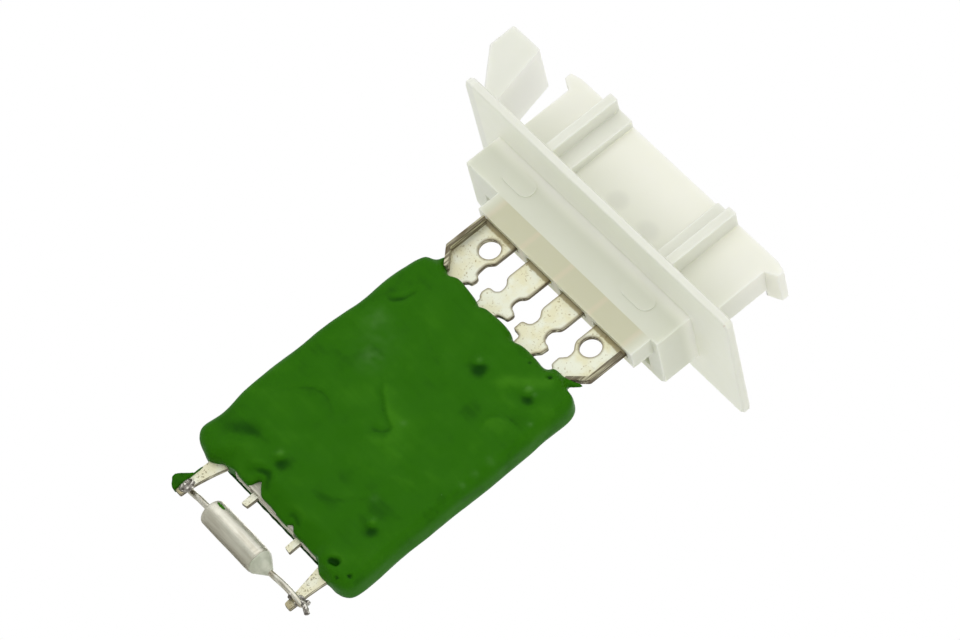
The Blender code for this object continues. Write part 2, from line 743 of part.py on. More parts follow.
def rivet(number, place, material):
    """Make one rivet, with a head outside each plate."""
    x, z = RIVETS[place]
    head_y = PLATE_OUTER_Y + FIT
    tip_y = head_y + RIVET_HEAD_HEIGHT
    profile = [
        (-tip_y, 0),
        (-tip_y, RIVET_HEAD / 2 - RIVET_HEAD_HEIGHT / 2),
        (-tip_y + RIVET_HEAD_HEIGHT / 2, RIVET_HEAD / 2),
        (-head_y, RIVET_HEAD / 2),
        (-head_y, RIVET_SHANK / 2),
        (head_y, RIVET_SHANK / 2),
        (head_y, RIVET_HEAD / 2),
        (tip_y - RIVET_HEAD_HEIGHT / 2, RIVET_HEAD / 2),
        (tip_y, RIVET_HEAD / 2 - RIVET_HEAD_HEIGHT / 2),
        (tip_y, 0),
    ]
    body = revolve(f"rivet_{number}", profile, Vector((0, 0, 0)), sides=20)
    body.rotation_euler = (0, 0, math.radians(90))
    body.location = (x, ROW_Y, z)
    return finish(body, material)


def coat_cavity():
    """Return the cuts that leave the coat as a skin about the sandwich."""
    half = CARD_WIDTH / 2 - PLATE_MARGIN + FIT
    deep = PLATE_OUTER_Y + FIT
    top = CARD_TOP_Z - PLATE_MARGIN + FIT
    cuts = [
        prism(
            "card_cavity",
            rectangle(CARD_X - half, CARD_X + half, CARD_BOTTOM_Z + PLATE_MARGIN, top),
            "Y",
            ROW_Y - deep,
            ROW_Y + deep,
        )
    ]
    low = CARD_BOTTOM_Z - EMBED
    high = CARD_BOTTOM_Z + PLATE_MARGIN + EMBED
    window = rectangle(WINDOW_LEFT_X, WINDOW_RIGHT_X, low, high)
    cuts.append(prism("edge_window", window, "Y", ROW_Y - deep, ROW_Y + deep))
    notch = rectangle(WINDOW_LEFT_X, WINDOW_RIGHT_X, low, WINDOW_Z)
    cuts.append(prism("window_notch", notch, "Y", ROW_Y - CARD_THICKNESS, ROW_Y + CARD_THICKNESS))
    thin = STOCK / 2 + FIT
    for index in range(TERMINAL_COUNT):
        wide = NECK_WIDTH / 2 + FIT
        centre = terminal_x(index)
        slit = rectangle(centre - wide, centre + wide, top - EMBED, CARD_TOP_Z + EMBED)
        cuts.append(prism("neck_slit", slit, "Y", ROW_Y - thin, ROW_Y + thin))
    for x in (ARM_LEFT_X, ARM_RIGHT_X):
        wide = ARM_ROOT_WIDTH / 2 + FIT
        slit = rectangle(x - wide, x + wide, low, high)
        cuts.append(prism("arm_slit", slit, "Y", ROW_Y - thin, ROW_Y + thin))
    reach = PLATE_OUTER_Y + RIVET_HEAD_HEIGHT + 2 * FIT
    for x, z in RIVETS.values():
        radius = RIVET_HEAD / 2 + FIT
        cuts.append(cylinder("head_pocket", (x, ROW_Y, z), "Y", radius, 2 * reach, sides=20))
    return cuts


def coating(material):
    """Make the thick dip coat, open at its lower edge and where metal leaves it."""
    half = CARD_WIDTH / 2
    outline = rounded_rectangle(CARD_X - half, CARD_X + half, CARD_BOTTOM_Z, CARD_TOP_Z, CARD_CORNER)
    front = ROW_Y - CARD_THICKNESS / 2
    back = ROW_Y + CARD_THICKNESS / 2
    coat = bevel(prism("coating", outline, "Y", front, back), CARD_EDGE, segments=3)
    bumps = []
    for x, z in RIVETS.values():
        reach = CARD_THICKNESS / 2 + RIVET_BUMP_RISE
        half_sizes = (RIVET_BUMP_WIDTH / 2, reach, RIVET_BUMP_WIDTH / 2)
        bumps.append(ellipsoid("rivet_bump", (x, ROW_Y, z), half_sizes))
    combine(coat, "UNION", bumps)
    combine(coat, "DIFFERENCE", coat_cavity())
    return finish(coat, material)


# Thermal fuse and its arms.


def arm(name, root_x, tip_x, tie_x, material):
    """Make one fuse arm, with its rivet pad inside the card and the stub of its tie bar."""
    x, z = RIVETS[name]
    root = ARM_ROOT_WIDTH / 2
    tip = ARM_TIP_WIDTH / 2
    inside = CARD_BOTTOM_Z + PLATE_MARGIN
    bar_low = z - RUN_WIDTH / 2
    bar_high = z + RUN_WIDTH / 2
    outline = [
        (root_x - root, bar_high),
        (root_x - root, inside),
        (tip_x - tip, ARM_TIP_Z),
        (tip_x + tip, ARM_TIP_Z),
        (root_x + root, inside),
        (root_x + root, bar_high),
    ]
    front = ROW_Y - STOCK / 2
    back = ROW_Y + STOCK / 2
    blade = prism(name, outline, "Y", front, back)
    tie = rectangle(tie_x - TIE_WIDTH / 2, tie_x + TIE_WIDTH / 2, WINDOW_Z - TIE_REACH, bar_high)
    span = sorted((root_x, tie_x))
    bar = rectangle(span[0], span[1], bar_low, bar_high)
    joined = [prism("tie_bar", tie, "Y", front, back), prism("arm_bar", bar, "Y", front, back)]
    combine(blade, "UNION", joined + [rivet_pad(name)])
    combine(blade, "DIFFERENCE", [rivet_hole(name)])
    return finish(blade, material)


def fuse_case(material):
    """Make the fuse's drawn metal case, with a round closed end and a rolled crimp."""
    radius = FUSE_DIAMETER / 2
    profile = []
    for step in range(DOME_STEPS + 1):
        angle = math.pi / 2 * step / DOME_STEPS
        profile.append((FUSE_DOME * (1 - math.cos(angle)), radius * math.sin(angle)))
    profile += [
        (FUSE_LENGTH - FUSE_CRIMP, radius),
        (FUSE_LENGTH, radius - FUSE_CRIMP_ROLL),
        (FUSE_LENGTH, 0),
    ]
    case = revolve("fuse_case", profile, Vector((FUSE_LEFT_X, ROW_Y, FUSE_Z)), sides=32)
    return finish(case, material)


def fuse_seal(material):
    """Make the cone of potting at the fuse's open end."""
    bore = LEAD_DIAMETER / 2 + FIT
    profile = [
        (0.0, bore),
        (0.0, SEAL_ROOT_DIAMETER / 2),
        (SEAL_SHOULDER, SEAL_ROOT_DIAMETER / 2),
        (SEAL_LENGTH, bore + SEAL_TIP_WALL),
        (SEAL_LENGTH, bore),
        (0.0, bore),
    ]
    origin = Vector((FUSE_LEFT_X + FUSE_LENGTH + FIT, ROW_Y, FUSE_Z))
    return finish(revolve("fuse_seal", profile, origin, sides=28), material)


def lead(name, start_x, arm_x, overrun, side, material):
    """Make one fuse lead, which leaves the axis to pass one face of its arm's tip.

    The side is -1 for a lead that crosses in front of its arm and 1 for one behind it.
    """
    way = math.copysign(1, arm_x - start_x)
    end_x = arm_x + way * overrun
    bend_end = arm_x - way * (ARM_TIP_WIDTH / 2 + FIT)
    reach = STOCK / 2 + FIT + LEAD_DIAMETER / 2
    curve = bpy.data.curves.new(name, "CURVE")
    curve.dimensions = "3D"
    curve.bevel_depth = LEAD_DIAMETER / 2
    curve.bevel_resolution = 3
    curve.use_fill_caps = True
    spline = curve.splines.new("POLY")
    spline.points.add(LEAD_STEPS)
    for step in range(LEAD_STEPS + 1):
        x = start_x + (end_x - start_x) * step / LEAD_STEPS
        bend = min((x - start_x) / (bend_end - start_x), 1.0)
        sway = bend * bend * (3 - 2 * bend)
        spline.points[step].co = (x, ROW_Y + side * reach * sway, FUSE_Z, 1)
    wire = bpy.data.objects.new(name, curve)
    bpy.context.collection.objects.link(wire)
    return finish(wire, material)


def coat_drop(material):
    """Make the drop of coating left on the left arm's tip, flat where it meets the arm."""
    edge = ARM_LEFT_TIP_X - ARM_TIP_WIDTH / 2 - FIT
    half_sizes = (DROP_WIDTH / 2, DROP_DEPTH / 2, DROP_HEIGHT / 2)
    blob = ellipsoid("coat_drop", (edge, ROW_Y, FUSE_Z), half_sizes)
    arm_side = rectangle(edge, edge + DROP_WIDTH, FUSE_Z - DROP_HEIGHT, FUSE_Z + DROP_HEIGHT)
    cutter = prism("arm_side", arm_side, "Y", ROW_Y - DROP_DEPTH, ROW_Y + DROP_DEPTH)
    combine(blob, "DIFFERENCE", [cutter])
    return finish(blob, material)


def build():
    """Make every sub-part of the resistor."""
    clear_scene()
    polymer = principled("mount_polymer", (0.86, 0.86, 0.82), 0.35)
    tin = principled("tinned_strip", (0.78, 0.75, 0.68), 0.32, 0.9)
    alloy = principled("resistance_alloy", (0.52, 0.5, 0.46), 0.4, 0.9)
    card = principled("insulating_card", (0.55, 0.56, 0.52), 0.8)
    paint = principled("green_coating", (0.035, 0.22, 0.01), 0.28)
    rivet_metal = principled("rivet_metal", (0.7, 0.68, 0.62), 0.35, 0.9)
    case_metal = principled("fuse_case_metal", (0.82, 0.82, 0.8), 0.25, 1.0)
    potting = principled("fuse_potting", (0.7, 0.71, 0.7), 0.6)
    wire = principled("tinned_wire", (0.8, 0.79, 0.75), 0.28, 1.0)
    mount_housing(polymer)
    for index in range(TERMINAL_COUNT):
        terminal(index, tin)
    resistor_grid(alloy)
    insulator("insulator_front", -1, card)
    insulator("insulator_back", 1, card)
    coating(paint)
    for number, place in enumerate(RIVETS, start=1):
        rivet(number, place, rivet_metal)
    arm("arm_left", ARM_LEFT_X, ARM_LEFT_TIP_X, ARM_LEFT_X + TIE_LEFT_SHIFT, tin)
    arm("arm_right", ARM_RIGHT_X, ARM_RIGHT_TIP_X, ARM_RIGHT_X + TIE_RIGHT_SHIFT, tin)
    fuse_case(case_metal)
    fuse_seal(potting)
    case_end = FUSE_LEFT_X + FUSE_LENGTH
    lead("fuse_lead_left", FUSE_LEFT_X - FIT, ARM_LEFT_TIP_X, LEAD_LEFT_OVERRUN, 1, wire)
    lead("fuse_lead_right", case_end + FIT, ARM_RIGHT_TIP_X, LEAD_RIGHT_OVERRUN, -1, wire)
    coat_drop(paint)


build()
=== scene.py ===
"""Dressed model of a blower motor resistor.

Each sub-assembly of the part is a class: the moulded mount, the row of blades, the coated card,
the sandwich inside it and the thermal fuse. Each finish is a frozen dataclass that makes one
material, and the effects that finishes share are shader node groups.

Lengths in the classes are in millimetres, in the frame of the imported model.
"""

from __future__ import annotations

import logging
import math
from collections.abc import Callable, Sequence
from dataclasses import dataclass, field
from enum import Enum

import bmesh
import bpy
import numpy as np
from mathutils import Matrix, Vector, noise


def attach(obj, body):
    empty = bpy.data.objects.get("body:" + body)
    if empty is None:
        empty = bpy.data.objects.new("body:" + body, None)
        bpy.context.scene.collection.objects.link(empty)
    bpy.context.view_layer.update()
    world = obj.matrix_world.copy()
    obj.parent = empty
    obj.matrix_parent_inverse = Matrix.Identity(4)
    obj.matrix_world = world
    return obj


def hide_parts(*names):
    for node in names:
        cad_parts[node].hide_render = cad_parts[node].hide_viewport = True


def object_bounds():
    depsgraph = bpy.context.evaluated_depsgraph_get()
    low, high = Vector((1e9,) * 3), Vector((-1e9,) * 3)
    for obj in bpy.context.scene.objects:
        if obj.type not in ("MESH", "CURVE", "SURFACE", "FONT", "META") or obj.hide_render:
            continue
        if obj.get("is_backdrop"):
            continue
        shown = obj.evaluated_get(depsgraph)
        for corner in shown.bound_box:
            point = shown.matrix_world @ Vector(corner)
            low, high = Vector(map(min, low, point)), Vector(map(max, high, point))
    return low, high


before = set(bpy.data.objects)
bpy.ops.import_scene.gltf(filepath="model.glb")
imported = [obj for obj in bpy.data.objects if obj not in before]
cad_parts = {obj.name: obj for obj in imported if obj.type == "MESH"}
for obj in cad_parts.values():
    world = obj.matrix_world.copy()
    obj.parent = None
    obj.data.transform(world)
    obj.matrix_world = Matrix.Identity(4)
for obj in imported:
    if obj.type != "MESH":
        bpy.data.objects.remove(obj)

LOG = logging.getLogger("resistor")
MM = 0.001
BODY = "root"
# Points nearer than this many millimetres are one point, and faces that turn by less than this
# many degrees are one face.
JOIN_REACH = 0.002
FLAT_ANGLE = 0.5

Rgb = tuple[float, float, float]
Point2 = tuple[float, float]
Point3 = tuple[float, float, float]


def srgb(red: int, green: int, blue: int) -> Rgb:
    """Turn a display colour of 0 to 255 into the linear colour that a shader takes.

    Args:
        red: Red as displayed.
        green: Green as displayed.
        blue: Blue as displayed.

    Returns:
        The same colour, linear.
    """

    def linear(value: int) -> float:
        """Return one channel as a linear value."""
        share = value / 255
        return share / 12.92 if share <= 0.04045 else ((share + 0.055) / 1.055) ** 2.4

    return linear(red), linear(green), linear(blue)


# Meshes.


class Side(Enum):
    """Which way something lies along the row, seen from its front."""

    LEFT = -1
    RIGHT = 1


def link(name: str, data: bpy.types.ID) -> bpy.types.Object:
    """Put a mesh, a lamp or a camera into the scene as a new object.

    Args:
        name: The object's name.
        data: What it shows.

    Returns:
        The new object.
    """
    made = bpy.data.objects.new(name, data)
    bpy.context.scene.collection.objects.link(made)
    return made


def from_bmesh(name: str, shape: bmesh.types.BMesh) -> bpy.types.Object:
    """Turn a bmesh in millimetres into an object in metres, with its faces pointing out.

    Args:
        name: The object's name.
        shape: The bmesh, which is freed.

    Returns:
        The new object.
    """
    bmesh.ops.recalc_face_normals(shape, faces=shape.faces)
    bmesh.ops.scale(shape, vec=(MM, MM, MM), verts=shape.verts)
    mesh = bpy.data.meshes.new(name)
    shape.to_mesh(mesh)
    shape.free()
    return link(name, mesh)


def settle(target: bpy.types.Object, sharp: float | None = 35.0) -> None:
    """Turn an object's modifiers into its mesh and shade it.

    Args:
        target: The object.
        sharp: Edges steeper than this many degrees stay sharp, or None for smooth all over.
    """
    graph = bpy.context.evaluated_depsgraph_get()
    graph.update()
    mesh = bpy.data.meshes.new_from_object(target.evaluated_get(graph))
    target.modifiers.clear()
    target.data = mesh
    mesh.shade_smooth()
    if sharp is not None:
        mesh.set_sharp_from_angle(angle=math.radians(sharp))


def round_edges(
    target: bpy.types.Object, width: float, segments: int = 2, angle: float = 30.0
) -> None:
    """Round the edges of an object that are steeper than an angle.

    Args:
        target: The object.
        width: The rounding's width in millimetres.
        segments: Faces across the rounding.
        angle: The angle in degrees.
    """
    step = target.modifiers.new("Round", "BEVEL")
    step.width = width * MM
    step.segments = segments
    step.limit_method = "ANGLE"
    step.angle_limit = math.radians(angle)
    step.use_clamp_overlap = True
    step.harden_normals = False


def drop_slivers(target: bpy.types.Object) -> None:
    """Join points that lie together and drop the faces that this leaves without an area.

    Args:
        target: The object.
    """
    shape = bmesh.new()
    shape.from_mesh(target.data)
    bmesh.ops.remove_doubles(shape, verts=shape.verts, dist=JOIN_REACH * MM)
    bmesh.ops.dissolve_degenerate(shape, edges=shape.edges, dist=JOIN_REACH * MM)
    shape.to_mesh(target.data)
    shape.free()


def flatten_broad(target: bpy.types.Object, narrow: float = 0.45, turn: float = 50.0) -> None:
    """Shade broad faces flat, and the narrow strips between them from one to the next.

    Args:
        target: The object.
        narrow: Faces narrower than this many millimetres count as strips.
        turn: Faces further apart than this many degrees don't shade into each other.
    """
    shape = bmesh.new()
    shape.from_mesh(target.data)
    spans = [face.calc_area() / max(e.calc_length() for e in face.edges) for face in shape.faces]
    limit = math.cos(math.radians(turn))
    normals = []
    for face in shape.faces:
        for corner in face.loops:
            near = [face]
            if spans[face.index] <= narrow * MM:
                near = [one for one in corner.vert.link_faces if one.normal.dot(face.normal) > limit]
                near = [one for one in near if spans[one.index] > narrow * MM] or near or [face]
            total = sum((one.normal * one.calc_area() for one in near), Vector())
            normals.append(total.normalized() if total.length > 0 else face.normal.copy())
    shape.free()
    target.data.normals_split_custom_set(normals)


def boolean(
    target: bpy.types.Object, operation: str, helpers: Sequence[bpy.types.Object]
) -> None:
    """Join helper solids to an object or cut them out of it, then drop the helpers.

    Args:
        target: The object to change.
        operation: UNION or DIFFERENCE.
        helpers: The solids to join or to cut with.
    """
    for helper in helpers:
        step = target.modifiers.new("Boolean", "BOOLEAN")
        step.operation = operation
        step.solver = "EXACT"
        step.object = helper
    settle(target, None)
    for helper in helpers:
        bpy.data.objects.remove(helper)


def gather(target: bpy.types.Object, helpers: Sequence[bpy.types.Object]) -> None:
    """Put helper solids into an object's mesh as they are, then drop the helpers.

    Args:
        target: The object to add to.
        helpers: The solids.
    """
    shape = bmesh.new()
    shape.from_mesh(target.data)
    for helper in helpers:
        shape.from_mesh(helper.data)
        bpy.data.objects.remove(helper)
    shape.to_mesh(target.data)
    shape.free()


def slab(name: str, outline: Sequence[Point2], front: float, back: float) -> bpy.types.Object:
    """Make a solid from an outline in XZ, between two places along Y.

    Args:
        name: The object's name.
        outline: The closed outline.
        front: Where it starts along Y.
        back: Where it ends along Y.

    Returns:
        The solid.
    """
    shape = bmesh.new()
    face = shape.faces.new([shape.verts.new((x, front, z)) for x, z in outline])
    grown = bmesh.ops.extrude_face_region(shape, geom=[face])
    moved = [item for item in grown["geom"] if isinstance(item, bmesh.types.BMVert)]
    bmesh.ops.translate(shape, verts=moved, vec=(0, back - front, 0))
    return from_bmesh(name, shape)


def drum(
    name: str, centre: Point3, radius: float, length: float, sides: int = 48
) -> bpy.types.Object:
    """Make a round bar along Y.

    Args:
        name: The object's name.
        centre: Its middle.
        radius: Its radius.
        length: Its length.
        sides: Faces round it.

    Returns:
        The solid.
    """
    shape = bmesh.new()
    bmesh.ops.create_cone(
        shape, cap_ends=True, segments=sides, radius1=radius, radius2=radius, depth=length
    )
    turn = Matrix.Rotation(math.radians(90), 3, "X")
    bmesh.ops.rotate(shape, verts=shape.verts, matrix=turn)
    bmesh.ops.translate(shape, verts=shape.verts, vec=centre)
    return from_bmesh(name, shape)


def ball(name: str, centre: Point3, half: Point3, detail: int = 3) -> bpy.types.Object:
    """Make a stretched ball.

    Args:
        name: The object's name.
        centre: Its middle.
        half: Half its size along X, Y and Z.
        detail: How finely it is divided.

    Returns:
        The solid.
    """
    shape = bmesh.new()
    bmesh.ops.create_icosphere(shape, subdivisions=detail, radius=1)
    bmesh.ops.scale(shape, vec=half, verts=shape.verts)
    bmesh.ops.translate(shape, verts=shape.verts, vec=centre)
    return from_bmesh(name, shape)


def turns(sides: int) -> list[float]:
    """Return the angles of the points of a ring."""
    return [math.tau * step / sides for step in range(sides)]


def ring_of(centre: Point2, radius: float, sides: int) -> list[Point2]:
    """Return the points of a ring.

    Args:
        centre: Its middle.
        radius: Its radius.
        sides: How many points it has.

    Returns:
        The points, in order.
    """
    spokes = [(math.cos(turn), math.sin(turn)) for turn in turns(sides)]
    return [(centre[0] + radius * x, centre[1] + radius * y) for x, y in spokes]


def lathe(
    name: str, profile: Sequence[Point2], centre: Point3, sides: int = 64
) -> bpy.types.Object:
    """Spin a profile about an axis along X.

    Args:
        name: The object's name.
        profile: Pairs of place along X and radius; a radius of zero closes the end.
        centre: Where the profile's zero lies.
        sides: Faces round it.

    Returns:
        The turned solid.
    """
    shape = bmesh.new()
    rings: list[list[bmesh.types.BMVert]] = []
    for along, radius in profile:
        middle = Vector(centre) + Vector((along, 0.0, 0.0))
        ring = []
        for turn in turns(sides)[: 1 if radius <= 0 else sides]:
            spoke = Vector((0.0, math.cos(turn), math.sin(turn)))
            ring.append(shape.verts.new(middle + radius * spoke))
        rings.append(ring)
    for first, second in zip(rings, rings[1:]):
        for step in range(sides):
            corners = [first[step % len(first)], first[(step + 1) % len(first)]]
            corners += [second[(step + 1) % len(second)], second[step % len(second)]]
            shape.faces.new(list(dict.fromkeys(corners)))
    return from_bmesh(name, shape)


def wire(
    name: str, route: Sequence[Point3], radius: float, sides: int = 16
) -> bpy.types.Object:
    """Make a round wire with slightly rounded cut ends along a smooth route.

    Args:
        name: The object's name.
        route: The points that the wire passes.
        radius: The wire's radius.
        sides: Faces round it.

    Returns:
        The wire.
    """
    centres = [Vector(point) for point in smooth_run(route, 8)]
    shape = bmesh.new()
    rings = []
    last = len(centres) - 1
    for index, centre in enumerate(centres):
        along = (centres[min(index + 1, last)] - centres[max(index - 1, 0)]).normalized()
        across = along.cross(Vector((0, 0, 1))).normalized()
        lift = across.cross(along)
        grip = radius * (0.8 if index in (0, last) else 1.0)
        ring = []
        for turn in turns(sides):
            spoke = math.cos(turn) * across + math.sin(turn) * lift
            ring.append(shape.verts.new(centre + grip * spoke))
        rings.append(ring)
    for first, second in zip(rings, rings[1:]):
        for step in range(sides):
            turned = (step + 1) % sides
            shape.faces.new((first[step], first[turned], second[turned], second[step]))
    shape.faces.new(rings[0])
    shape.faces.new(rings[-1])
    return from_bmesh(name, shape)


def smooth_run(points: Sequence[Point3], steps: int) -> list[Point3]:
    """Pass an open smooth curve through points.

    Args:
        points: The points that it passes.
        steps: Steps between two of them.

    Returns:
        The points along the curve.
    """
    ends = [points[0], *points, points[-1]]
    run: list[Point3] = []
    for before, start, end, after in zip(ends, ends[1:], ends[2:], ends[3:]):
        for step in range(steps):
            run.append(blend_point(before, start, end, after, step / steps))
    run.append(tuple(float(value) for value in points[-1]))
    return run


def smooth_loop(points: Sequence[Point2], steps: int) -> list[Point2]:
    """Pass a closed smooth curve through points.

    Args:
        points: The points that it passes, in order.
        steps: Steps between two of them.

    Returns:
        The points along the curve.
    """
    count = len(points)
    loop: list[Point2] = []
    for index in range(count):
        near = [points[(index + shift) % count] for shift in (-1, 0, 1, 2)]
        for step in range(steps):
            loop.append(blend_point(*near, step / steps))
    return loop


def blend_point(
    before: Sequence[float],
    start: Sequence[float],
    end: Sequence[float],
    after: Sequence[float],
    share: float,
) -> tuple[float, ...]:
    """Return a point between two others, on a curve that also heeds their neighbours.

    Args:
        before: The point ahead of the start.
        start: The point at share 0.
        end: The point at share 1.
        after: The point past the end.
        share: How far along.

    Returns:
        The point.
    """
    square = share * share
    cube = square * share
    return tuple(
        0.5
        * (
            2 * b
            + (c - a) * share
            + (2 * a - 5 * b + 4 * c - d) * square
            + (3 * b - a - 3 * c + d) * cube
        )
        for a, b, c, d in zip(before, start, end, after)
    )


def round_corners(points: Sequence[Point2], radius: float, steps: int = 4) -> list[Point2]:
    """Round every corner of a closed outline.

    Args:
        points: The outline's corners.
        radius: How far along its sides each rounding starts, at most half a side.
        steps: Steps along each rounding.

    Returns:
        The rounded outline.
    """
    count = len(points)
    made: list[Point2] = []
    for index, corner in enumerate(points):
        middle = Vector(corner)
        before = Vector(points[index - 1]) - middle
        after = Vector(points[(index + 1) % count]) - middle
        start = middle + before.normalized() * min(radius, before.length * 0.48)
        end = middle + after.normalized() * min(radius, after.length * 0.48)
        for step in range(steps + 1):
            share = step / steps
            point = start.lerp(middle, share).lerp(middle.lerp(end, share), share)
            made.append((point.x, point.y))
    return made


def rows_of(mesh: bpy.types.Mesh, key: str) -> np.ndarray:
    """Return one of the vectors that a mesh has at each of its points.

    Args:
        mesh: The mesh.
        key: Which vector: co or normal.

    Returns:
        One row for each point.
    """
    flat = np.empty(len(mesh.vertices) * 3, np.float32)
    mesh.vertices.foreach_get(key, flat)
    return flat.reshape(-1, 3).astype(float)


def points_of(mesh: bpy.types.Mesh) -> np.ndarray:
    """Return a mesh's points in millimetres, one row each."""
    return rows_of(mesh, "co") / MM


def normals_of(mesh: bpy.types.Mesh) -> np.ndarray:
    """Return the normals at a mesh's points, one row each."""
    return rows_of(mesh, "normal")


def move_points(mesh: bpy.types.Mesh, points: np.ndarray) -> None:
    """Put a mesh's points where the rows say, in millimetres."""
    mesh.vertices.foreach_set("co", (points * MM).astype(np.float32).ravel())
    mesh.update()


def keep_values(mesh: bpy.types.Mesh, name: str, values: np.ndarray) -> None:
    """Keep one number for each point of a mesh, under a name that its material reads."""
    layer = mesh.attributes.new(name, "FLOAT", "POINT")
    layer.data.foreach_set("value", values.astype(np.float32))


def even_mesh(piece: bpy.types.Object, voxel: float, softening: int = 0) -> None:
    """Give a piece an even fine mesh, which fuses what overlaps in it, and soften it.

    Args:
        piece: The piece.
        voxel: The mesh's step in millimetres.
        softening: How many times it is softened.
    """
    step = piece.modifiers.new("Even", "REMESH")
    step.mode = "VOXEL"
    step.voxel_size = voxel * MM
    if softening:
        soft = piece.modifiers.new("Soften", "SMOOTH")
        soft.factor = 0.5
        soft.iterations = softening
    settle(piece, None)


def rumple(points: np.ndarray, size: float, shift: float = 0.0) -> np.ndarray:
    """Return smooth noise from -1 to 1 at each point.

    Args:
        points: One row for each point.
        size: How large the noise's lumps are, in millimetres.
        shift: Moves the noise, so that two uses differ.

    Returns:
        One value for each point.
    """
    offset = Vector((shift, 2.3 * shift, -1.7 * shift))
    return np.array([noise.noise(Vector(point) / size + offset) for point in points])


@dataclass(frozen=True)
class Wave:
    """One layer of a surface's unevenness: its height, the size of its lumps and its shift."""

    height: float
    size: float
    shift: float = 0.0

    def lift(self, points: np.ndarray) -> np.ndarray:
        """Return how far the layer lifts each point."""
        return self.height * rumple(points, self.size, self.shift)


def push_out(mesh: bpy.types.Mesh, lift: np.ndarray) -> None:
    """Move a mesh's points out along their normals, each by its own number of millimetres."""
    move_points(mesh, points_of(mesh) + normals_of(mesh) * lift[:, None])


def copy_node(node: str, name: str) -> bpy.types.Object:
    """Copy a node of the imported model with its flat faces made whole.

    Args:
        node: The node.
        name: The copy's name.

    Returns:
        The copy, with no material.
    """
    shape = bmesh.new()
    shape.from_mesh(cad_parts[node].data)
    bmesh.ops.remove_doubles(shape, verts=shape.verts, dist=JOIN_REACH * MM)
    bmesh.ops.dissolve_limit(
        shape, angle_limit=math.radians(FLAT_ANGLE), verts=shape.verts, edges=shape.edges
    )
    mesh = bpy.data.meshes.new(name)
    shape.to_mesh(mesh)
    shape.free()
    return link(name, mesh)


# Shader node groups.


class Graph:
    """Places nodes in one node tree and wires them."""

    def __init__(self, tree: bpy.types.NodeTree) -> None:
        """Start on a node tree."""
        self.tree = tree

    def add(self, kind: str, inputs: dict | None = None, **settings: object) -> bpy.types.Node:
        """Place a node.

        Args:
            kind: The node's type.
            inputs: Values or sockets by input name or number.
            **settings: The node's own settings.

        Returns:
            The node.
        """
        node = self.tree.nodes.new(kind)
        for key, value in settings.items():
            setattr(node, key, value)
        for key, value in (inputs or {}).items():
            self.feed(node.inputs[key], value)
        return node

    def feed(self, socket: bpy.types.NodeSocket, value: object) -> None:
        """Give an input a value, or wire a socket into it.

        Args:
            socket: The input.
            value: A number, a colour, a vector or another node's output.
        """
        if isinstance(value, bpy.types.NodeSocket):
            self.tree.links.new(value, socket)
        elif isinstance(value, tuple) and len(value) == 3 and socket.type == "RGBA":
            socket.default_value = (*value, 1.0)
        else:
            socket.default_value = value

    def sum(self, operation: str, *values: object, clamp: bool = False) -> bpy.types.NodeSocket:
        """Do one step of arithmetic.

        Args:
            operation: The Math node's operation.
            *values: Its inputs.
            clamp: Whether the result is kept from 0 to 1.

        Returns:
            The result.
        """
        inputs = dict(enumerate(values))
        return self.add("ShaderNodeMath", inputs, operation=operation, use_clamp=clamp).outputs[0]

    def span(
        self, value: object, low: object, high: object, start: object = 0.0, end: object = 1.0
    ) -> bpy.types.NodeSocket:
        """Carry a value from one span to another with soft ends.

        Args:
            value: The value.
            low: What becomes start.
            high: What becomes end.
            start: The result at low.
            end: The result at high.

        Returns:
            The result.
        """
        inputs = {0: value, 1: low, 2: high, 3: start, 4: end}
        node = self.add("ShaderNodeMapRange", inputs, interpolation_type="SMOOTHSTEP")
        return node.outputs[0]

    def tint(self, share: object, first: object, second: object) -> bpy.types.NodeSocket:
        """Mix two colours.

        Args:
            share: How much of the second.
            first: A colour.
            second: Another.

        Returns:
            The mixed colour.
        """
        node = self.add("ShaderNodeMix", data_type="RGBA")
        self.feed(node.inputs[0], share)
        self.feed(node.inputs[6], first)
        self.feed(node.inputs[7], second)
        return node.outputs[2]

    def place(self, stretch: Point3 = (1.0, 1.0, 1.0), turn: Point3 = (0.0, 0.0, 0.0)) -> object:
        """Return the place on the object in millimetres, turned and then stretched.

        Args:
            stretch: Factors along the axes.
            turn: Turns about the axes in degrees.

        Returns:
            The vector socket.
        """
        coordinates = self.add("ShaderNodeTexCoord").outputs["Object"]
        scale = tuple(factor / MM for factor in stretch)
        inputs = {
            "Vector": coordinates,
            "Scale": scale,
            "Rotation": tuple(math.radians(angle) for angle in turn),
        }
        return self.add("ShaderNodeMapping", inputs).outputs[0]

    def cloud(
        self, scale: object, detail: float = 2.0, vector: object = None, rough: float = 0.5
    ) -> bpy.types.NodeSocket:
        """Return noise from 0 to 1.

        Args:
            scale: Lumps to the millimetre.
            detail: How many finer layers it has.
            vector: The place, or None for the place on the object.
            rough: How strong the finer layers are.

        Returns:
            The noise.
        """
        inputs = {
            "Vector": self.place() if vector is None else vector,
            "Scale": scale,
            "Detail": detail,
            "Roughness": rough,
        }
        return self.add("ShaderNodeTexNoise", inputs).outputs[0]

    def group(self, tree: bpy.types.NodeTree, **inputs: object) -> bpy.types.Node:
        """Place a node group with its own values.

        Args:
            tree: The group.
            **inputs: Its inputs by name.

        Returns:
            The group's node.
        """
        node = self.add("ShaderNodeGroup", node_tree=tree)
        for name, value in inputs.items():
            self.feed(node.inputs[name], value)
        return node


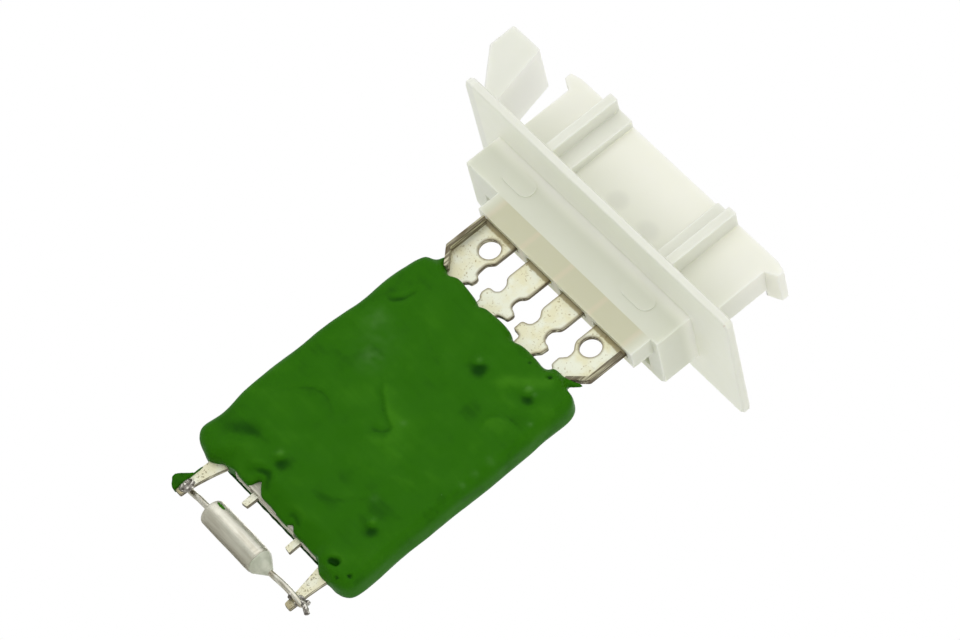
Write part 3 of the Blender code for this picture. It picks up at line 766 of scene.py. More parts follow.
@dataclass
class EffectShelf:
    """The shader node groups that more than one finish of the part uses."""

    trees: dict[str, bpy.types.NodeTree] = field(default_factory=dict)

    def make(
        self, name: str, inputs: dict[str, float], outputs: Sequence[str], wire_up: Callable
    ) -> bpy.types.NodeTree:
        """Build a group once and keep it.

        Args:
            name: The group's name.
            inputs: Its inputs and their usual values.
            outputs: Its outputs.
            wire_up: Called with the graph and the inputs; returns the outputs' sockets.

        Returns:
            The group.
        """
        if name in self.trees:
            return self.trees[name]
        tree = bpy.data.node_groups.new(name, "ShaderNodeTree")
        for label, value in inputs.items():
            socket = tree.interface.new_socket(
                name=label, in_out="INPUT", socket_type="NodeSocketFloat"
            )
            socket.default_value = value
        for label in outputs:
            kind = "NodeSocketVector" if label == "Normal" else "NodeSocketFloat"
            tree.interface.new_socket(name=label, in_out="OUTPUT", socket_type=kind)
        graph = Graph(tree)
        entry = tree.nodes.new("NodeGroupInput")
        leave = tree.nodes.new("NodeGroupOutput")
        results = wire_up(graph, entry.outputs)
        for label, result in zip(outputs, results):
            graph.feed(leave.inputs[label], result)
        self.trees[name] = tree
        return tree

    def mottle(self) -> bpy.types.NodeTree:
        """Soft uneven patches, from a low value to a high one.

        Returns:
            The group.
        """

        def wire_up(graph: Graph, given: object) -> tuple:
            """Wire the group's nodes.

            Args:
                graph: The group's graph.
                given: The group's inputs.

            Returns:
                The group's outputs.
            """
            patches = graph.cloud(given["Scale"], 3.0)
            return (graph.span(patches, 0.34, 0.66, given["Low"], given["High"]),)

        inputs = {"Scale": 0.3, "Low": 0.0, "High": 1.0}
        return self.make("soft_mottle", inputs, ("Value",), wire_up)

    def flecks(self) -> bpy.types.NodeTree:
        """Small scattered flecks with ragged edges, gathered in places.

        Returns:
            The group.
        """

        def wire_up(graph: Graph, given: object) -> tuple:
            """Wire the group's nodes.

            Args:
                graph: The group's graph.
                given: The group's inputs.

            Returns:
                The group's outputs.
            """
            fine = graph.cloud(given["Scale"], 3.0, rough=0.6)
            where = graph.cloud(graph.sum("MULTIPLY", given["Scale"], 0.16), 1.0)
            level = graph.sum("MULTIPLY_ADD", where, -0.22, graph.sum("ADD", given["Level"], 0.11))
            edge = graph.sum("ADD", level, given["Softness"])
            return (graph.span(fine, level, edge),)

        inputs = {"Scale": 1.6, "Level": 0.68, "Softness": 0.05}
        return self.make("scattered_flecks", inputs, ("Mask",), wire_up)

    def fall(self) -> bpy.types.NodeTree:
        """A stain that fades with height from a level, with a ragged end.

        Returns:
            The group.
        """

        def wire_up(graph: Graph, given: object) -> tuple:
            """Wire the group's nodes.

            Args:
                graph: The group's graph.
                given: The group's inputs.

            Returns:
                The group's outputs.
            """
            height = graph.add("ShaderNodeSeparateXYZ", {0: graph.place()}).outputs[2]
            rough = graph.sum("SUBTRACT", graph.cloud(1.4, 3.0), 0.5)
            ragged = graph.sum("MULTIPLY_ADD", rough, given["Ragged"], height)
            return (graph.span(ragged, given["From"], given["To"]),)

        inputs = {"From": -11.0, "To": -9.0, "Ragged": 1.5}
        return self.make("stain_by_height", inputs, ("Mask",), wire_up)

    def draw_lines(self) -> bpy.types.NodeTree:
        """Fine parallel lines left by rolling, drawing or shearing, along X or Z.

        Returns:
            The group.
        """

        def wire_up(graph: Graph, given: object) -> tuple:
            """Wire the group's nodes.

            Args:
                graph: The group's graph.
                given: The group's inputs.

            Returns:
                The group's outputs.
            """
            along_x = graph.cloud(given["Scale"], 2.0, graph.place((0.06, 1.0, 1.0)))
            along_z = graph.cloud(given["Scale"], 2.0, graph.place((1.0, 1.0, 0.06)))
            chosen = graph.sum(
                "MULTIPLY_ADD", graph.sum("SUBTRACT", along_z, along_x), given["Upright"], along_x
            )
            return (chosen,)

        inputs = {"Scale": 3.0, "Upright": 0.0}
        return self.make("draw_lines", inputs, ("Value",), wire_up)

    def sheared(self) -> bpy.types.NodeTree:
        """Marks the cut walls of a stamping, which face across its thickness, and the rounded edges
        that turn towards them, for their dark colour and painted shade.

        Returns:
            The group.
        """

        def wire_up(graph: Graph, given: object) -> tuple:
            """Wire the group's nodes.

            Args:
                graph: The group's graph.
                given: The group's inputs.

            Returns:
                The group's outputs.
            """
            facing = graph.add("ShaderNodeNewGeometry").outputs["Normal"]
            through = graph.add("ShaderNodeSeparateXYZ", {0: facing}).outputs[1]
            size = graph.sum("ABSOLUTE", through)
            return (graph.span(size, given["Wall"], given["Face"], 1.0, 0.0),)

        inputs = {"Wall": 0.6, "Face": 0.99}
        return self.make("sheared_walls_and_edge_shade", inputs, ("Mask",), wire_up)

    def skin(self) -> bpy.types.NodeTree:
        """A fine uneven surface, as a normal.

        Returns:
            The group.
        """

        def wire_up(graph: Graph, given: object) -> tuple:
            """Wire the group's nodes.

            Args:
                graph: The group's graph.
                given: The group's inputs.

            Returns:
                The group's outputs.
            """
            lumps = graph.cloud(given["Scale"], 4.0, rough=0.55)
            bump = graph.add(
                "ShaderNodeBump",
                {"Height": lumps, "Strength": given["Strength"], "Distance": 0.05 * MM},
            )
            return (bump.outputs[0],)

        inputs = {"Scale": 2.0, "Strength": 0.3}
        return self.make("fine_skin", inputs, ("Normal",), wire_up)


# Finishes.


@dataclass(frozen=True)
class Finish:
    """What every finish has: a name, a shader and a fine unevenness that its surface shows."""

    name: str
    skin_scale: float = 2.0
    skin_strength: float = 0.25

    def start(self, **fixed: object) -> tuple[bpy.types.Material, Graph, bpy.types.Node]:
        """Make a material with one plain shader.

        Args:
            **fixed: The shader's constants, with underscores for spaces.

        Returns:
            The material, its graph and its shader.
        """
        material = bpy.data.materials.new(self.name)
        material.use_nodes = True
        graph = Graph(material.node_tree)
        shader = material.node_tree.nodes["Principled BSDF"]
        for key, value in fixed.items():
            graph.feed(shader.inputs[key.replace("_", " ")], value)
        return material, graph, shader

    def end(
        self,
        shelf: EffectShelf,
        graph: Graph,
        shader: bpy.types.Node,
        colour: bpy.types.NodeSocket,
        rough: bpy.types.NodeSocket,
    ) -> None:
        """Feed the shader its colour, its roughness and the surface's unevenness.

        Args:
            shelf: The shared effects.
            graph: The material's graph.
            shader: The material's shader.
            colour: The colour.
            rough: The roughness.
        """
        graph.feed(shader.inputs["Base Color"], colour)
        graph.feed(shader.inputs["Roughness"], rough)
        skin = graph.group(shelf.skin(), Scale=self.skin_scale, Strength=self.skin_strength)
        graph.feed(shader.inputs["Normal"], skin.outputs[0])


@dataclass(frozen=True)
class NylonFinish(Finish):
    """Natural milky nylon, with painted light and shade: warmer and darker as painted shade where metal
    lies behind it, darker towards the shroud's foot, lighter near the flange, darker on the ribs'
    fronts, and with the lever's two sides evened out.

    Pairs of numbers are the places between which one look turns into another.
    """

    skin_scale: float = 1.4
    skin_strength: float = 0.1
    milk: Rgb = srgb(240, 240, 229)
    # Painted shade: the shroud's colour darkens from milk at its rim to this at its foot.
    thick: Rgb = srgb(229, 230, 217)
    # Painted light: the block's front goes from block lower down to lit just under the flange, against
    # the flange's shadow.
    block: Rgb = srgb(222, 224, 209)
    lit: Rgb = srgb(247, 248, 236)
    # Painted shade on the nose where the terminals lie inside it, a little lighter and warmer between
    # the blades.
    nose: Rgb = srgb(206, 205, 178)
    gap_shade: Rgb = srgb(214, 207, 182)
    # Painted shade on the ribs' fronts and the flange's front edge, which catch more light.
    proud: Rgb = srgb(229, 230, 219)
    # Painted light: the lever's facet facing along X is lightened to match its front.
    lever_front: Rgb = srgb(233, 234, 224)
    lever_side_light: Rgb = srgb(255, 255, 238)
    shade: Rgb = srgb(190, 191, 181)
    speck: Rgb = srgb(120, 104, 84)
    rust: Rgb = srgb(176, 112, 52)
    rim_to_foot: Point2 = (10.5, 3.0)
    below_flange: Point2 = (-2.4, -0.3)
    flange_middle: Point2 = (0.2, -0.2)
    nose_top: Point2 = (-5.84, -5.96)
    nose_ends: Point2 = (13.2, 16.0)
    row_middle: float = 1.64
    pitch: float = 7.0
    blade_gap: Point2 = (0.4, 0.49)
    gap_shade_share: float = 0.8
    rib_front: Point2 = (-7.05, -7.2)
    rib_foot: Point2 = (1.35, 1.5)
    flange_front: Point2 = (-11.6, -11.75)
    lever_turn: Point2 = (0.2, 0.6)
    lever_start: Point2 = (-24.9, -25.3)
    blade_ends: tuple[Point3, ...] = ((-0.3, 4.0, 1.7), (6.1, 3.7, 1.9))
    blade_end_height: float = 1.5
    front_wall: Point2 = (-5.2, -6.4)
    shade_share: float = 0.24
    speck_share: float = 0.7
    rust_place: Point3 = (26.6, -11.6, -0.1)
    rust_size: Point2 = (0.45, 0.2)

    def by_height(self, graph: Graph, height: object, across: object) -> bpy.types.NodeSocket:
        """Return the colour from the shroud's thin rim down to the nose round the terminals, with
        painted shade towards the foot and on the nose, and painted light near the flange.

        Args:
            graph: The material's graph.
            height: Z of the place.
            across: X of the place.

        Returns:
            The colour.
        """
        # Painted shade, darker from the shroud's rim down to its foot.
        body = graph.tint(graph.span(height, *self.rim_to_foot), self.milk, self.thick)
        # Painted light on the block's front near the flange, against the shadow that the flange casts.
        block = graph.tint(graph.span(height, *self.below_flange), self.block, self.lit)
        body = graph.tint(graph.span(height, *self.flange_middle), body, block)
        # Painted shade on the nose from the terminals inside it, less of it between the blades.
        step = graph.sum("DIVIDE", graph.sum("SUBTRACT", across, self.row_middle), self.pitch)
        near = graph.sum("ABSOLUTE", graph.sum("SUBTRACT", graph.sum("FRACT", step), 0.5))
        gap = graph.span(near, *self.blade_gap)
        nose = graph.tint(graph.sum("MULTIPLY", gap, self.gap_shade_share), self.nose, self.gap_shade)
        away = graph.sum("ABSOLUTE", graph.sum("SUBTRACT", across, self.row_middle))
        nose = graph.tint(graph.span(away, *self.nose_ends), nose, self.block)
        return graph.tint(graph.span(height, *self.nose_top), body, nose)

    def ahead(self, graph: Graph, depth: object, height: object) -> bpy.types.NodeSocket:
        """Return a mask of the ribs' fronts and the flange's front edge, for painted shade where they
        catch more light.

        Args:
            graph: The material's graph.
            depth: Y of the place.
            height: Z of the place.

        Returns:
            The mask.
        """
        ribs = graph.span(depth, *self.rib_front)
        above = graph.span(height, *self.rib_foot)
        edge = graph.span(depth, *self.flange_front)
        return graph.sum("MAXIMUM", graph.sum("MULTIPLY", ribs, above), edge)

    def lever(self, graph: Graph, across: object, body: object) -> bpy.types.NodeSocket:
        """Return the colour with painted light on the lever's facet that faces along X, so that its two
        outer sides look even.

        Args:
            graph: The material's graph.
            across: X of the place.
            body: The colour elsewhere.

        Returns:
            The colour.
        """
        facing = graph.add("ShaderNodeNewGeometry").outputs["Normal"]
        outward = graph.add("ShaderNodeSeparateXYZ", {0: facing}).outputs[0]
        shade = graph.tint(graph.span(outward, *self.lever_turn), self.lever_front, self.lever_side_light)
        return graph.tint(graph.span(across, *self.lever_start), body, shade)

    def blade_shadow_mask(self, graph: Graph, across: object, depth: object, height: object) -> object:
        """Return the painted shadow of the blades' ends, seen through the shroud's front wall.

        Args:
            graph: The material's graph.
            across: X of the place.
            depth: Y of the place.
            height: Z of the place.

        Returns:
            The mask.
        """
        shown = 0.0
        for centre, level, size in self.blade_ends:
            side = graph.sum("DIVIDE", graph.sum("SUBTRACT", across, centre), size)
            rise = graph.sum("DIVIDE", graph.sum("SUBTRACT", height, level), self.blade_end_height)
            gap = graph.sum("ADD", graph.sum("MULTIPLY", side, side), graph.sum("MULTIPLY", rise, rise))
            shown = graph.sum("ADD", graph.span(gap, 1.5, 0.0), shown)
        return graph.sum("MULTIPLY", shown, graph.span(depth, *self.front_wall))

    def build(self, shelf: EffectShelf) -> bpy.types.Material:
        """Make the material.

        Args:
            shelf: The shared effects.

        Returns:
            The material.
        """
        material, graph, shader = self.start(
            IOR=1.48,
            Subsurface_Weight=1.0,
            Subsurface_Radius=(1.0, 1.0, 1.0),
            Subsurface_Scale=1.0 * MM,
        )
        place = graph.add("ShaderNodeSeparateXYZ", {0: graph.place()})
        across, depth, height = place.outputs[0], place.outputs[1], place.outputs[2]
        body = self.by_height(graph, height, across)
        # Painted shade on the ribs' fronts and the flange's front edge.
        body = graph.tint(self.ahead(graph, depth, height), body, self.proud)
        body = self.lever(graph, across, body)
        # Painted shadow of the blades' ends behind the shroud's front wall.
        behind = self.blade_shadow_mask(graph, across, depth, height)
        body = graph.tint(graph.sum("MULTIPLY", behind, self.shade_share), body, self.shade)
        specks = graph.group(shelf.flecks(), Scale=1.7, Level=0.85, Softness=0.02).outputs[0]
        body = graph.tint(graph.sum("MULTIPLY", specks, self.speck_share), body, self.speck)
        ends = {0: graph.place(), 1: self.rust_place}
        gap = graph.add("ShaderNodeVectorMath", ends, operation="DISTANCE").outputs["Value"]
        body = graph.tint(graph.span(gap, *self.rust_size), body, self.rust)
        gloss = graph.group(shelf.mottle(), Scale=0.5, Low=0.4, High=0.52).outputs[0]
        self.end(shelf, graph, shader, body, gloss)
        return material


@dataclass(frozen=True)
class TinFinish(Finish):
    """Tinned strip: pale faces with brown flecks, cut walls dark partly as bare sheared metal and
    partly as painted shade on the rounded edges, painted shade along the cut rims, and a stain at one
    height.
    """

    skin_scale: float = 3.0
    skin_strength: float = 0.22
    face: Rgb = srgb(226, 228, 210)
    haze: Rgb = srgb(221, 218, 186)
    # Cut walls: the bare sheared metal's own dark colour, also used as painted shade on the rounded
    # edges.
    wall: Rgb = srgb(84, 72, 50)
    # Painted shade along the sheared rims of the faces.
    rim: Rgb = srgb(112, 98, 66)
    fleck: Rgb = srgb(150, 124, 66)
    stain: Rgb = srgb(150, 136, 94)
    stain_from: float = -10.05
    stain_to: float = -9.8
    fleck_level: float = 0.6
    fleck_share: float = 0.6
    stain_share: float = 0.8
    wall_shade_share: float = 0.9

    def build(self, shelf: EffectShelf) -> bpy.types.Material:
        """Make the material.

        Args:
            shelf: The shared effects.

        Returns:
            The material.
        """
        material, graph, shader = self.start(Metallic=0.5, Specular_IOR_Level=0.3)
        haze = graph.group(shelf.mottle(), Scale=0.45, Low=0.0, High=1.0).outputs[0]
        body = graph.tint(haze, self.face, self.haze)
        flecks = graph.group(shelf.flecks(), Scale=3.0, Level=self.fleck_level, Softness=0.1)
        share = graph.sum("MULTIPLY", flecks.outputs[0], self.fleck_share)
        body = graph.tint(share, body, self.fleck)
        fall = graph.group(shelf.fall(), From=self.stain_from, To=self.stain_to, Ragged=0.45)
        share = graph.sum("MULTIPLY", fall.outputs[0], self.stain_share)
        body = graph.tint(share, body, self.stain)
        # Painted shade: a dark line along the sheared rims of the faces.
        rim = graph.add("ShaderNodeAttribute", attribute_name="rim").outputs["Fac"]
        body = graph.tint(rim, body, self.rim)
        edge = graph.add("ShaderNodeAttribute", attribute_name="cut").outputs["Fac"]
        # The cut walls' own dark metal, with painted shade on the rounded edges and on the bent lip.
        wall = graph.sum("MAXIMUM", graph.group(shelf.sheared()).outputs[0], edge)
        lines = graph.group(shelf.draw_lines(), Scale=3.5, Upright=1.0).outputs[0]
        dark = graph.tint(graph.span(lines, 0.42, 0.78), self.wall, self.haze)
        body = graph.tint(graph.sum("MULTIPLY", wall, self.wall_shade_share), body, dark)
        rough = graph.span(flecks.outputs[0], 0.0, 1.0, 0.5, 0.68)
        self.end(shelf, graph, shader, body, rough)
        return material


@dataclass(frozen=True)
class CoatFinish(Finish):
    """Thick green dip coat, with painted shade in its hollows and painted light on its rises, and pale
    specks with painted sheen.
    """

    skin_scale: float = 1.5
    skin_strength: float = 0.3
    # Painted shade in the hollows and creases.
    hollow_shade: Rgb = srgb(14, 62, 0)
    green: Rgb = srgb(42, 103, 2)
    # Painted light on the rises.
    bright: Rgb = srgb(58, 120, 14)
    # Pale specks, and painted sheen on the rivets' tops, the right edge and some rises.
    speck_and_sheen: Rgb = srgb(104, 146, 84)
    brush: float = 0.07
    speck_share: float = 0.35

    def build(self, shelf: EffectShelf) -> bpy.types.Material:
        """Make the material.

        Args:
            shelf: The shared effects.

        Returns:
            The material.
        """
        material, graph, shader = self.start(IOR=1.4, Specular_IOR_Level=0.07)
        relief = graph.add("ShaderNodeAttribute", attribute_name="relief").outputs["Fac"]
        speck_and_sheen = graph.add("ShaderNodeAttribute", attribute_name="speck_and_sheen").outputs["Fac"]
        patches = graph.group(shelf.mottle(), Scale=0.22, Low=-0.2, High=0.2).outputs[0]
        lines = graph.group(shelf.draw_lines(), Scale=1.1, Upright=0.0).outputs[0]
        brushed = graph.span(lines, 0.3, 0.7, -self.brush, self.brush)
        # Painted shade in hollows and painted light on rises, from the relief mask, with brushed lines
        # and random patches.
        level = graph.sum("ADD", graph.sum("ADD", relief, brushed), patches)
        body = graph.tint(graph.span(level, 0.0, -0.9), self.green, self.hollow_shade)
        body = graph.tint(graph.span(level, 0.0, 1.0), body, self.bright)
        # Pale specks, and painted sheen from its mask.
        specks = graph.group(shelf.flecks(), Scale=1.3, Level=0.77, Softness=0.05).outputs[0]
        pale = graph.sum("MAXIMUM", graph.sum("MULTIPLY", specks, self.speck_share), speck_and_sheen)
        body = graph.tint(pale, body, self.speck_and_sheen)
        gloss = graph.group(shelf.mottle(), Scale=0.35, Low=0.38, High=0.52).outputs[0]
        self.end(shelf, graph, shader, body, gloss)
        return material


@dataclass(frozen=True)
class BoardFinish(Finish):
    """Pale mineral plate with layered cut edges."""

    skin_scale: float = 5.0
    skin_strength: float = 0.6
    pale: Rgb = srgb(216, 212, 198)
    grey: Rgb = srgb(176, 172, 158)
    brown: Rgb = srgb(140, 124, 98)
    speck_share: float = 0.6

    def build(self, shelf: EffectShelf) -> bpy.types.Material:
        """Make the material.

        Args:
            shelf: The shared effects.

        Returns:
            The material.
        """
        material, graph, shader = self.start()
        layers = graph.group(shelf.draw_lines(), Scale=4.0, Upright=0.0).outputs[0]
        body = graph.tint(graph.span(layers, 0.3, 0.7), self.pale, self.grey)
        specks = graph.group(shelf.flecks(), Scale=2.0, Level=0.72, Softness=0.06).outputs[0]
        body = graph.tint(graph.sum("MULTIPLY", specks, self.speck_share), body, self.brown)
        dull = graph.group(shelf.mottle(), Scale=0.8, Low=0.6, High=0.8).outputs[0]
        self.end(shelf, graph, shader, body, dull)
        return material


@dataclass(frozen=True)
class DrawnMetalFinish(Finish):
    """Drawn or rolled metal with fine lines along it and a little tarnish."""

    skin_scale: float = 1.6
    bright: Rgb = srgb(226, 224, 212)
    dull: Rgb = srgb(178, 174, 158)
    spot: Rgb = srgb(120, 96, 66)
    upright: float = 0.0
    roughness: float = 0.24
    wear: float = 0.14
    spot_level: float = 0.76
    spot_share: float = 0.7
    metal: float = 1.0

    def build(self, shelf: EffectShelf) -> bpy.types.Material:
        """Make the material.

        Args:
            shelf: The shared effects.

        Returns:
            The material.
        """
        material, graph, shader = self.start(Metallic=self.metal)
        lines = graph.group(shelf.draw_lines(), Scale=2.6, Upright=self.upright).outputs[0]
        body = graph.tint(graph.span(lines, 0.35, 0.7), self.bright, self.dull)
        spots = graph.group(shelf.flecks(), Scale=2.2, Level=self.spot_level, Softness=0.06)
        share = graph.sum("MULTIPLY", spots.outputs[0], self.spot_share)
        body = graph.tint(share, body, self.spot)
        worn = self.roughness + self.wear
        rough = graph.group(shelf.mottle(), Scale=1.2, Low=self.roughness, High=worn).outputs[0]
        self.end(shelf, graph, shader, body, rough)
        return material


@dataclass(frozen=True)
class WeldFinish(Finish):
    """Burnt rough metal where a lead is welded to its arm."""

    skin_scale: float = 4.0
    skin_strength: float = 0.9
    ash: Rgb = srgb(158, 154, 146)
    soot: Rgb = srgb(84, 78, 70)
    glint: Rgb = srgb(226, 222, 212)

    def build(self, shelf: EffectShelf) -> bpy.types.Material:
        """Make the material.

        Args:
            shelf: The shared effects.

        Returns:
            The material.
        """
        material, graph, shader = self.start(Metallic=0.5)
        burnt = graph.group(shelf.mottle(), Scale=1.6, Low=0.0, High=1.0).outputs[0]
        body = graph.tint(burnt, self.ash, self.soot)
        glints = graph.group(shelf.flecks(), Scale=2.4, Level=0.53, Softness=0.06).outputs[0]
        body = graph.tint(glints, body, self.glint)
        rough = graph.span(glints, 0.0, 1.0, 0.55, 0.25)
        self.end(shelf, graph, shader, body, rough)
        return material


@dataclass(frozen=True)
class PottingFinish(Finish):
    """Cloudy pale potting compound."""

    pale: Rgb = srgb(212, 214, 196)
    grey: Rgb = srgb(188, 192, 172)

    def build(self, shelf: EffectShelf) -> bpy.types.Material:
        """Make the material.

        Args:
            shelf: The shared effects.

        Returns:
            The material.
        """
        material, graph, shader = self.start(
            Subsurface_Weight=0.3, Subsurface_Radius=(1.0, 1.0, 1.0), Subsurface_Scale=0.5 * MM
        )
        cloud = graph.group(shelf.mottle(), Scale=0.7, Low=0.0, High=1.0).outputs[0]
        gloss = graph.group(shelf.mottle(), Scale=1.0, Low=0.35, High=0.5).outputs[0]
        self.end(shelf, graph, shader, graph.tint(cloud, self.pale, self.grey), gloss)
        return material


# Sub-assemblies.


def dress(
    piece: bpy.types.Object, material: bpy.types.Material, slot: str, *nodes: str
) -> None:
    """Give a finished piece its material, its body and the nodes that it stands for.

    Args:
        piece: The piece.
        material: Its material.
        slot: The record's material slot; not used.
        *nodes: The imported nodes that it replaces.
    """
    piece.data.materials.clear()
    piece.data.materials.append(material)
    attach(piece, BODY)
    if nodes:
        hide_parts(*nodes)
    LOG.info("%s: %d faces", piece.name, len(piece.data.polygons))


def repaint(node: str, material: bpy.types.Material) -> None:
    """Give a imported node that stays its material.

    Args:
        node: The node.
        material: Its material.
    """
    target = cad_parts[node]
    target.data.materials.clear()
    target.data.materials.append(material)
    LOG.info("%s: kept, repainted", node)


@dataclass
class Mount:
    """The one-piece moulding with flange, plug block, nose, shroud and grip lever."""

    edge_round: float = 0.16
    rounding_steps: int = 3
    narrow: float = 0.45
    block_front: float = -4.2
    block_top: float = -0.6
    nub_least: float = 0.1
    nub_rise: float = 0.14
    sharp: float = 25.0
    nose_edge: float = -9.2

    def sink_nubs(self, piece: bpy.types.Object) -> None:
        """Lower the two oval marks on the block's front to what the mould leaves.

        Args:
            piece: The moulding.
        """
        points = points_of(piece.data)
        proud = points[:, 1] < self.block_front - self.nub_least
        nub = proud & (points[:, 2] < self.block_top)
        points[nub, 1] = self.block_front - self.nub_rise
        move_points(piece.data, points)

    def weigh_edges(self, piece: bpy.types.Object) -> None:
        """Choose the edges that are rounded: sharp ones between broad faces, above the nose's end.

        Args:
            piece: The moulding.
        """
        shape = bmesh.new()
        shape.from_mesh(piece.data)
        weights = shape.edges.layers.float.new("bevel_weight_edge")
        for edge in shape.edges:
            if len(edge.link_faces) != 2 or edge.calc_face_angle() < math.radians(self.sharp):
                continue
            if max(end.co.z for end in edge.verts) < self.nose_edge * MM:
                continue
            spans = [
                face.calc_area() / max(side.calc_length() for side in face.edges)
                for face in edge.link_faces
            ]
            if min(spans) > self.narrow * MM:
                edge[weights] = 1.0
        shape.to_mesh(piece.data)
        shape.free()

    def build(self, nylon: bpy.types.Material) -> None:
        """Make the moulding with its edges rounded as a mould leaves them.

        Args:
            nylon: The nylon.
        """
        piece = copy_node("mount_housing", "mount_moulding")
        self.sink_nubs(piece)
        self.weigh_edges(piece)
        round_edges(piece, self.edge_round, self.rounding_steps)
        piece.modifiers["Round"].limit_method = "WEIGHT"
        piece.modifiers["Round"].use_clamp_overlap = False
        settle(piece, None)
        drop_slivers(piece)
        flatten_broad(piece, self.narrow)
        dress(piece, nylon, "mount_polymer", "mount_housing")


class Tip(Enum):
    """How a terminal's outer side is finished."""

    CUT = "cut"
    FOLDED = "folded"
    PRESSED = "pressed"


@dataclass(frozen=True)
class Terminal:
    """One stamped blade: where it stands, its cut sides from the top down and its outer side."""

    number: int
    centre: float
    left: tuple[Point2, ...] = ()
    right: tuple[Point2, ...] = ()
    style: Tip = Tip.CUT
    corner: float = -16.05
    lip_rise: float = 0.0


@dataclass
class BladeRow:
    """The four stamped and tinned blade terminals."""

    row_y: float = -2.6
    stock: float = 0.7
    blade: float = 4.8
    tip_top: float = 8.0
    tip_taper: float = 1.0
    step_height: float = -8.4
    shoulder: float = 0.05
    neck_end: float = -20.4
    outer: float = 3.95
    outer_neck: float = 1.3
    hole_height: float = -11.95
    hole: float = 3.1
    rim_sides: int = 36
    lip: float = 0.6
    lip_top: float = -9.55
    lip_reach: float = 2.35
    lip_inset: float = 0.02
    lip_round: float = 0.18
    lip_root: float = 0.2
    corner_round: float = 0.2
    burr: float = 0.12
    burr_angle: float = 35.0
    # Painted shade along the sheared rims: its width, strength and how far it stays full.
    rim_width: float = 0.3
    rim_shade_share: float = 0.8
    rim_full: float = 1.15
    cut_depth: Point2 = (0.06, 0.2)
    patch: float = 0.16
    terminals: tuple[Terminal, ...] = (
        Terminal(
            number=1,
            centre=-8.86,
            right=(
                (-6.58, -12.85), (-7.3, -13.72), (-7.36, -14.2), (-7.27, -15.2), (-7.1, -15.62),
                (-6.5, -15.88), (-6.36, -16.4), (-6.5, -17.15), (-6.95, -17.25), (-7.3, -17.65),
                (-7.5, -18.3),
            ),
            style=Tip.FOLDED,
            lip_rise=1.5,
        ),
        Terminal(
            number=2,
            centre=-1.86,
            left=(
                (-3.86, -12.75), (-3.72, -13.2), (-3.06, -13.85), (-2.88, -14.4), (-2.86, -15.1),
                (-3.36, -15.62), (-4.2, -15.7), (-4.5, -15.95), (-4.62, -16.9), (-4.35, -17.45),
                (-3.95, -17.76), (-3.85, -18.6),
            ),
            right=(
                (0.54, -12.92), (0.4, -13.38), (-0.16, -14.0), (-0.26, -14.6), (-0.18, -15.22),
                (0.1, -15.57), (0.86, -15.83), (1.2, -16.0), (1.35, -16.4), (1.16, -17.27),
                (0.38, -17.43), (-0.34, -17.7), (-0.42, -18.3),
            ),
        ),
        Terminal(
            number=3,
            centre=5.14,
            left=(
                (3.12, -12.55), (3.27, -13.05), (3.95, -13.84), (4.1, -14.5), (3.98, -15.25),
                (3.6, -15.63), (2.88, -15.86), (2.7, -16.15), (2.75, -17.42), (3.95, -17.52),
                (4.2, -17.8), (4.3, -18.7),
            ),
            right=(
                (7.44, -12.55), (7.32, -13.1), (6.76, -13.72), (6.56, -14.1), (6.52, -14.6),
                (6.67, -15.1), (7.0, -15.58), (7.48, -15.79), (8.1, -15.9), (8.32, -16.1),
                (8.2, -17.2), (7.76, -17.72), (7.5, -18.2),
            ),
        ),
        Terminal(
            number=4,
            centre=12.14,
            left=(
                (10.08, -12.64), (10.35, -13.2), (10.98, -13.86), (11.16, -14.5), (11.12, -15.13),
                (10.7, -15.66), (10.4, -15.97), (10.45, -17.08), (10.57, -17.45), (10.95, -17.56),
                (11.15, -18.0),
            ),
            style=Tip.PRESSED,
            corner=-15.35,
            lip_rise=0.35,
        ),
    )

    def cut_side(self, course: Sequence[Point2]) -> list[Point2]:
        """Return a cut side, from under the nose to the end of its neck in the coat.

        Args:
            course: The cut's corners, from the top down.

        Returns:
            The side's points.
        """
        top = (course[0][0], self.step_height)
        low = (course[-1][0], self.neck_end)
        return [top, *course, low]

    def outer_side(self, one: Terminal, side: Side) -> list[Point2]:
        """Return the outer side of an end terminal, from the top down.

        Args:
            one: The terminal.
            side: Which side is its outer one.

        Returns:
            The side's points.
        """
        run = self.outer - self.outer_neck
        wide = one.centre + side.value * self.outer
        neck = one.centre + side.value * self.outer_neck
        return [
            (wide, self.step_height),
            (wide, one.corner),
            (neck, one.corner - run),
            (neck, self.neck_end),
        ]

    def lip_solid(self, one: Terminal, side: Side) -> bpy.types.Object:
        """Return the strip along the outer side that is bent forward.

        Args:
            one: The terminal.
            side: Which side is its outer one.

        Returns:
            The strip.
        """
        outer = one.centre + side.value * (self.outer - self.lip_inset)
        inner = one.centre + side.value * (self.outer - self.lip)
        reach = self.lip_reach
        mitre = self.lip * math.tan(math.pi / 8)
        set_back = self.lip / math.sqrt(2)
        outline = [
            (outer, self.lip_top),
            (outer, one.corner),
            (outer - side.value * reach, one.corner - reach),
            (outer - side.value * (reach + set_back), one.corner - reach + set_back),
            (inner, one.corner + mitre),
            (inner, self.lip_top),
        ]
        front = self.row_y - self.stock / 2 - one.lip_rise
        return slab("lip", round_corners(outline, self.lip_round, 2), front, self.row_y + self.lip_root)

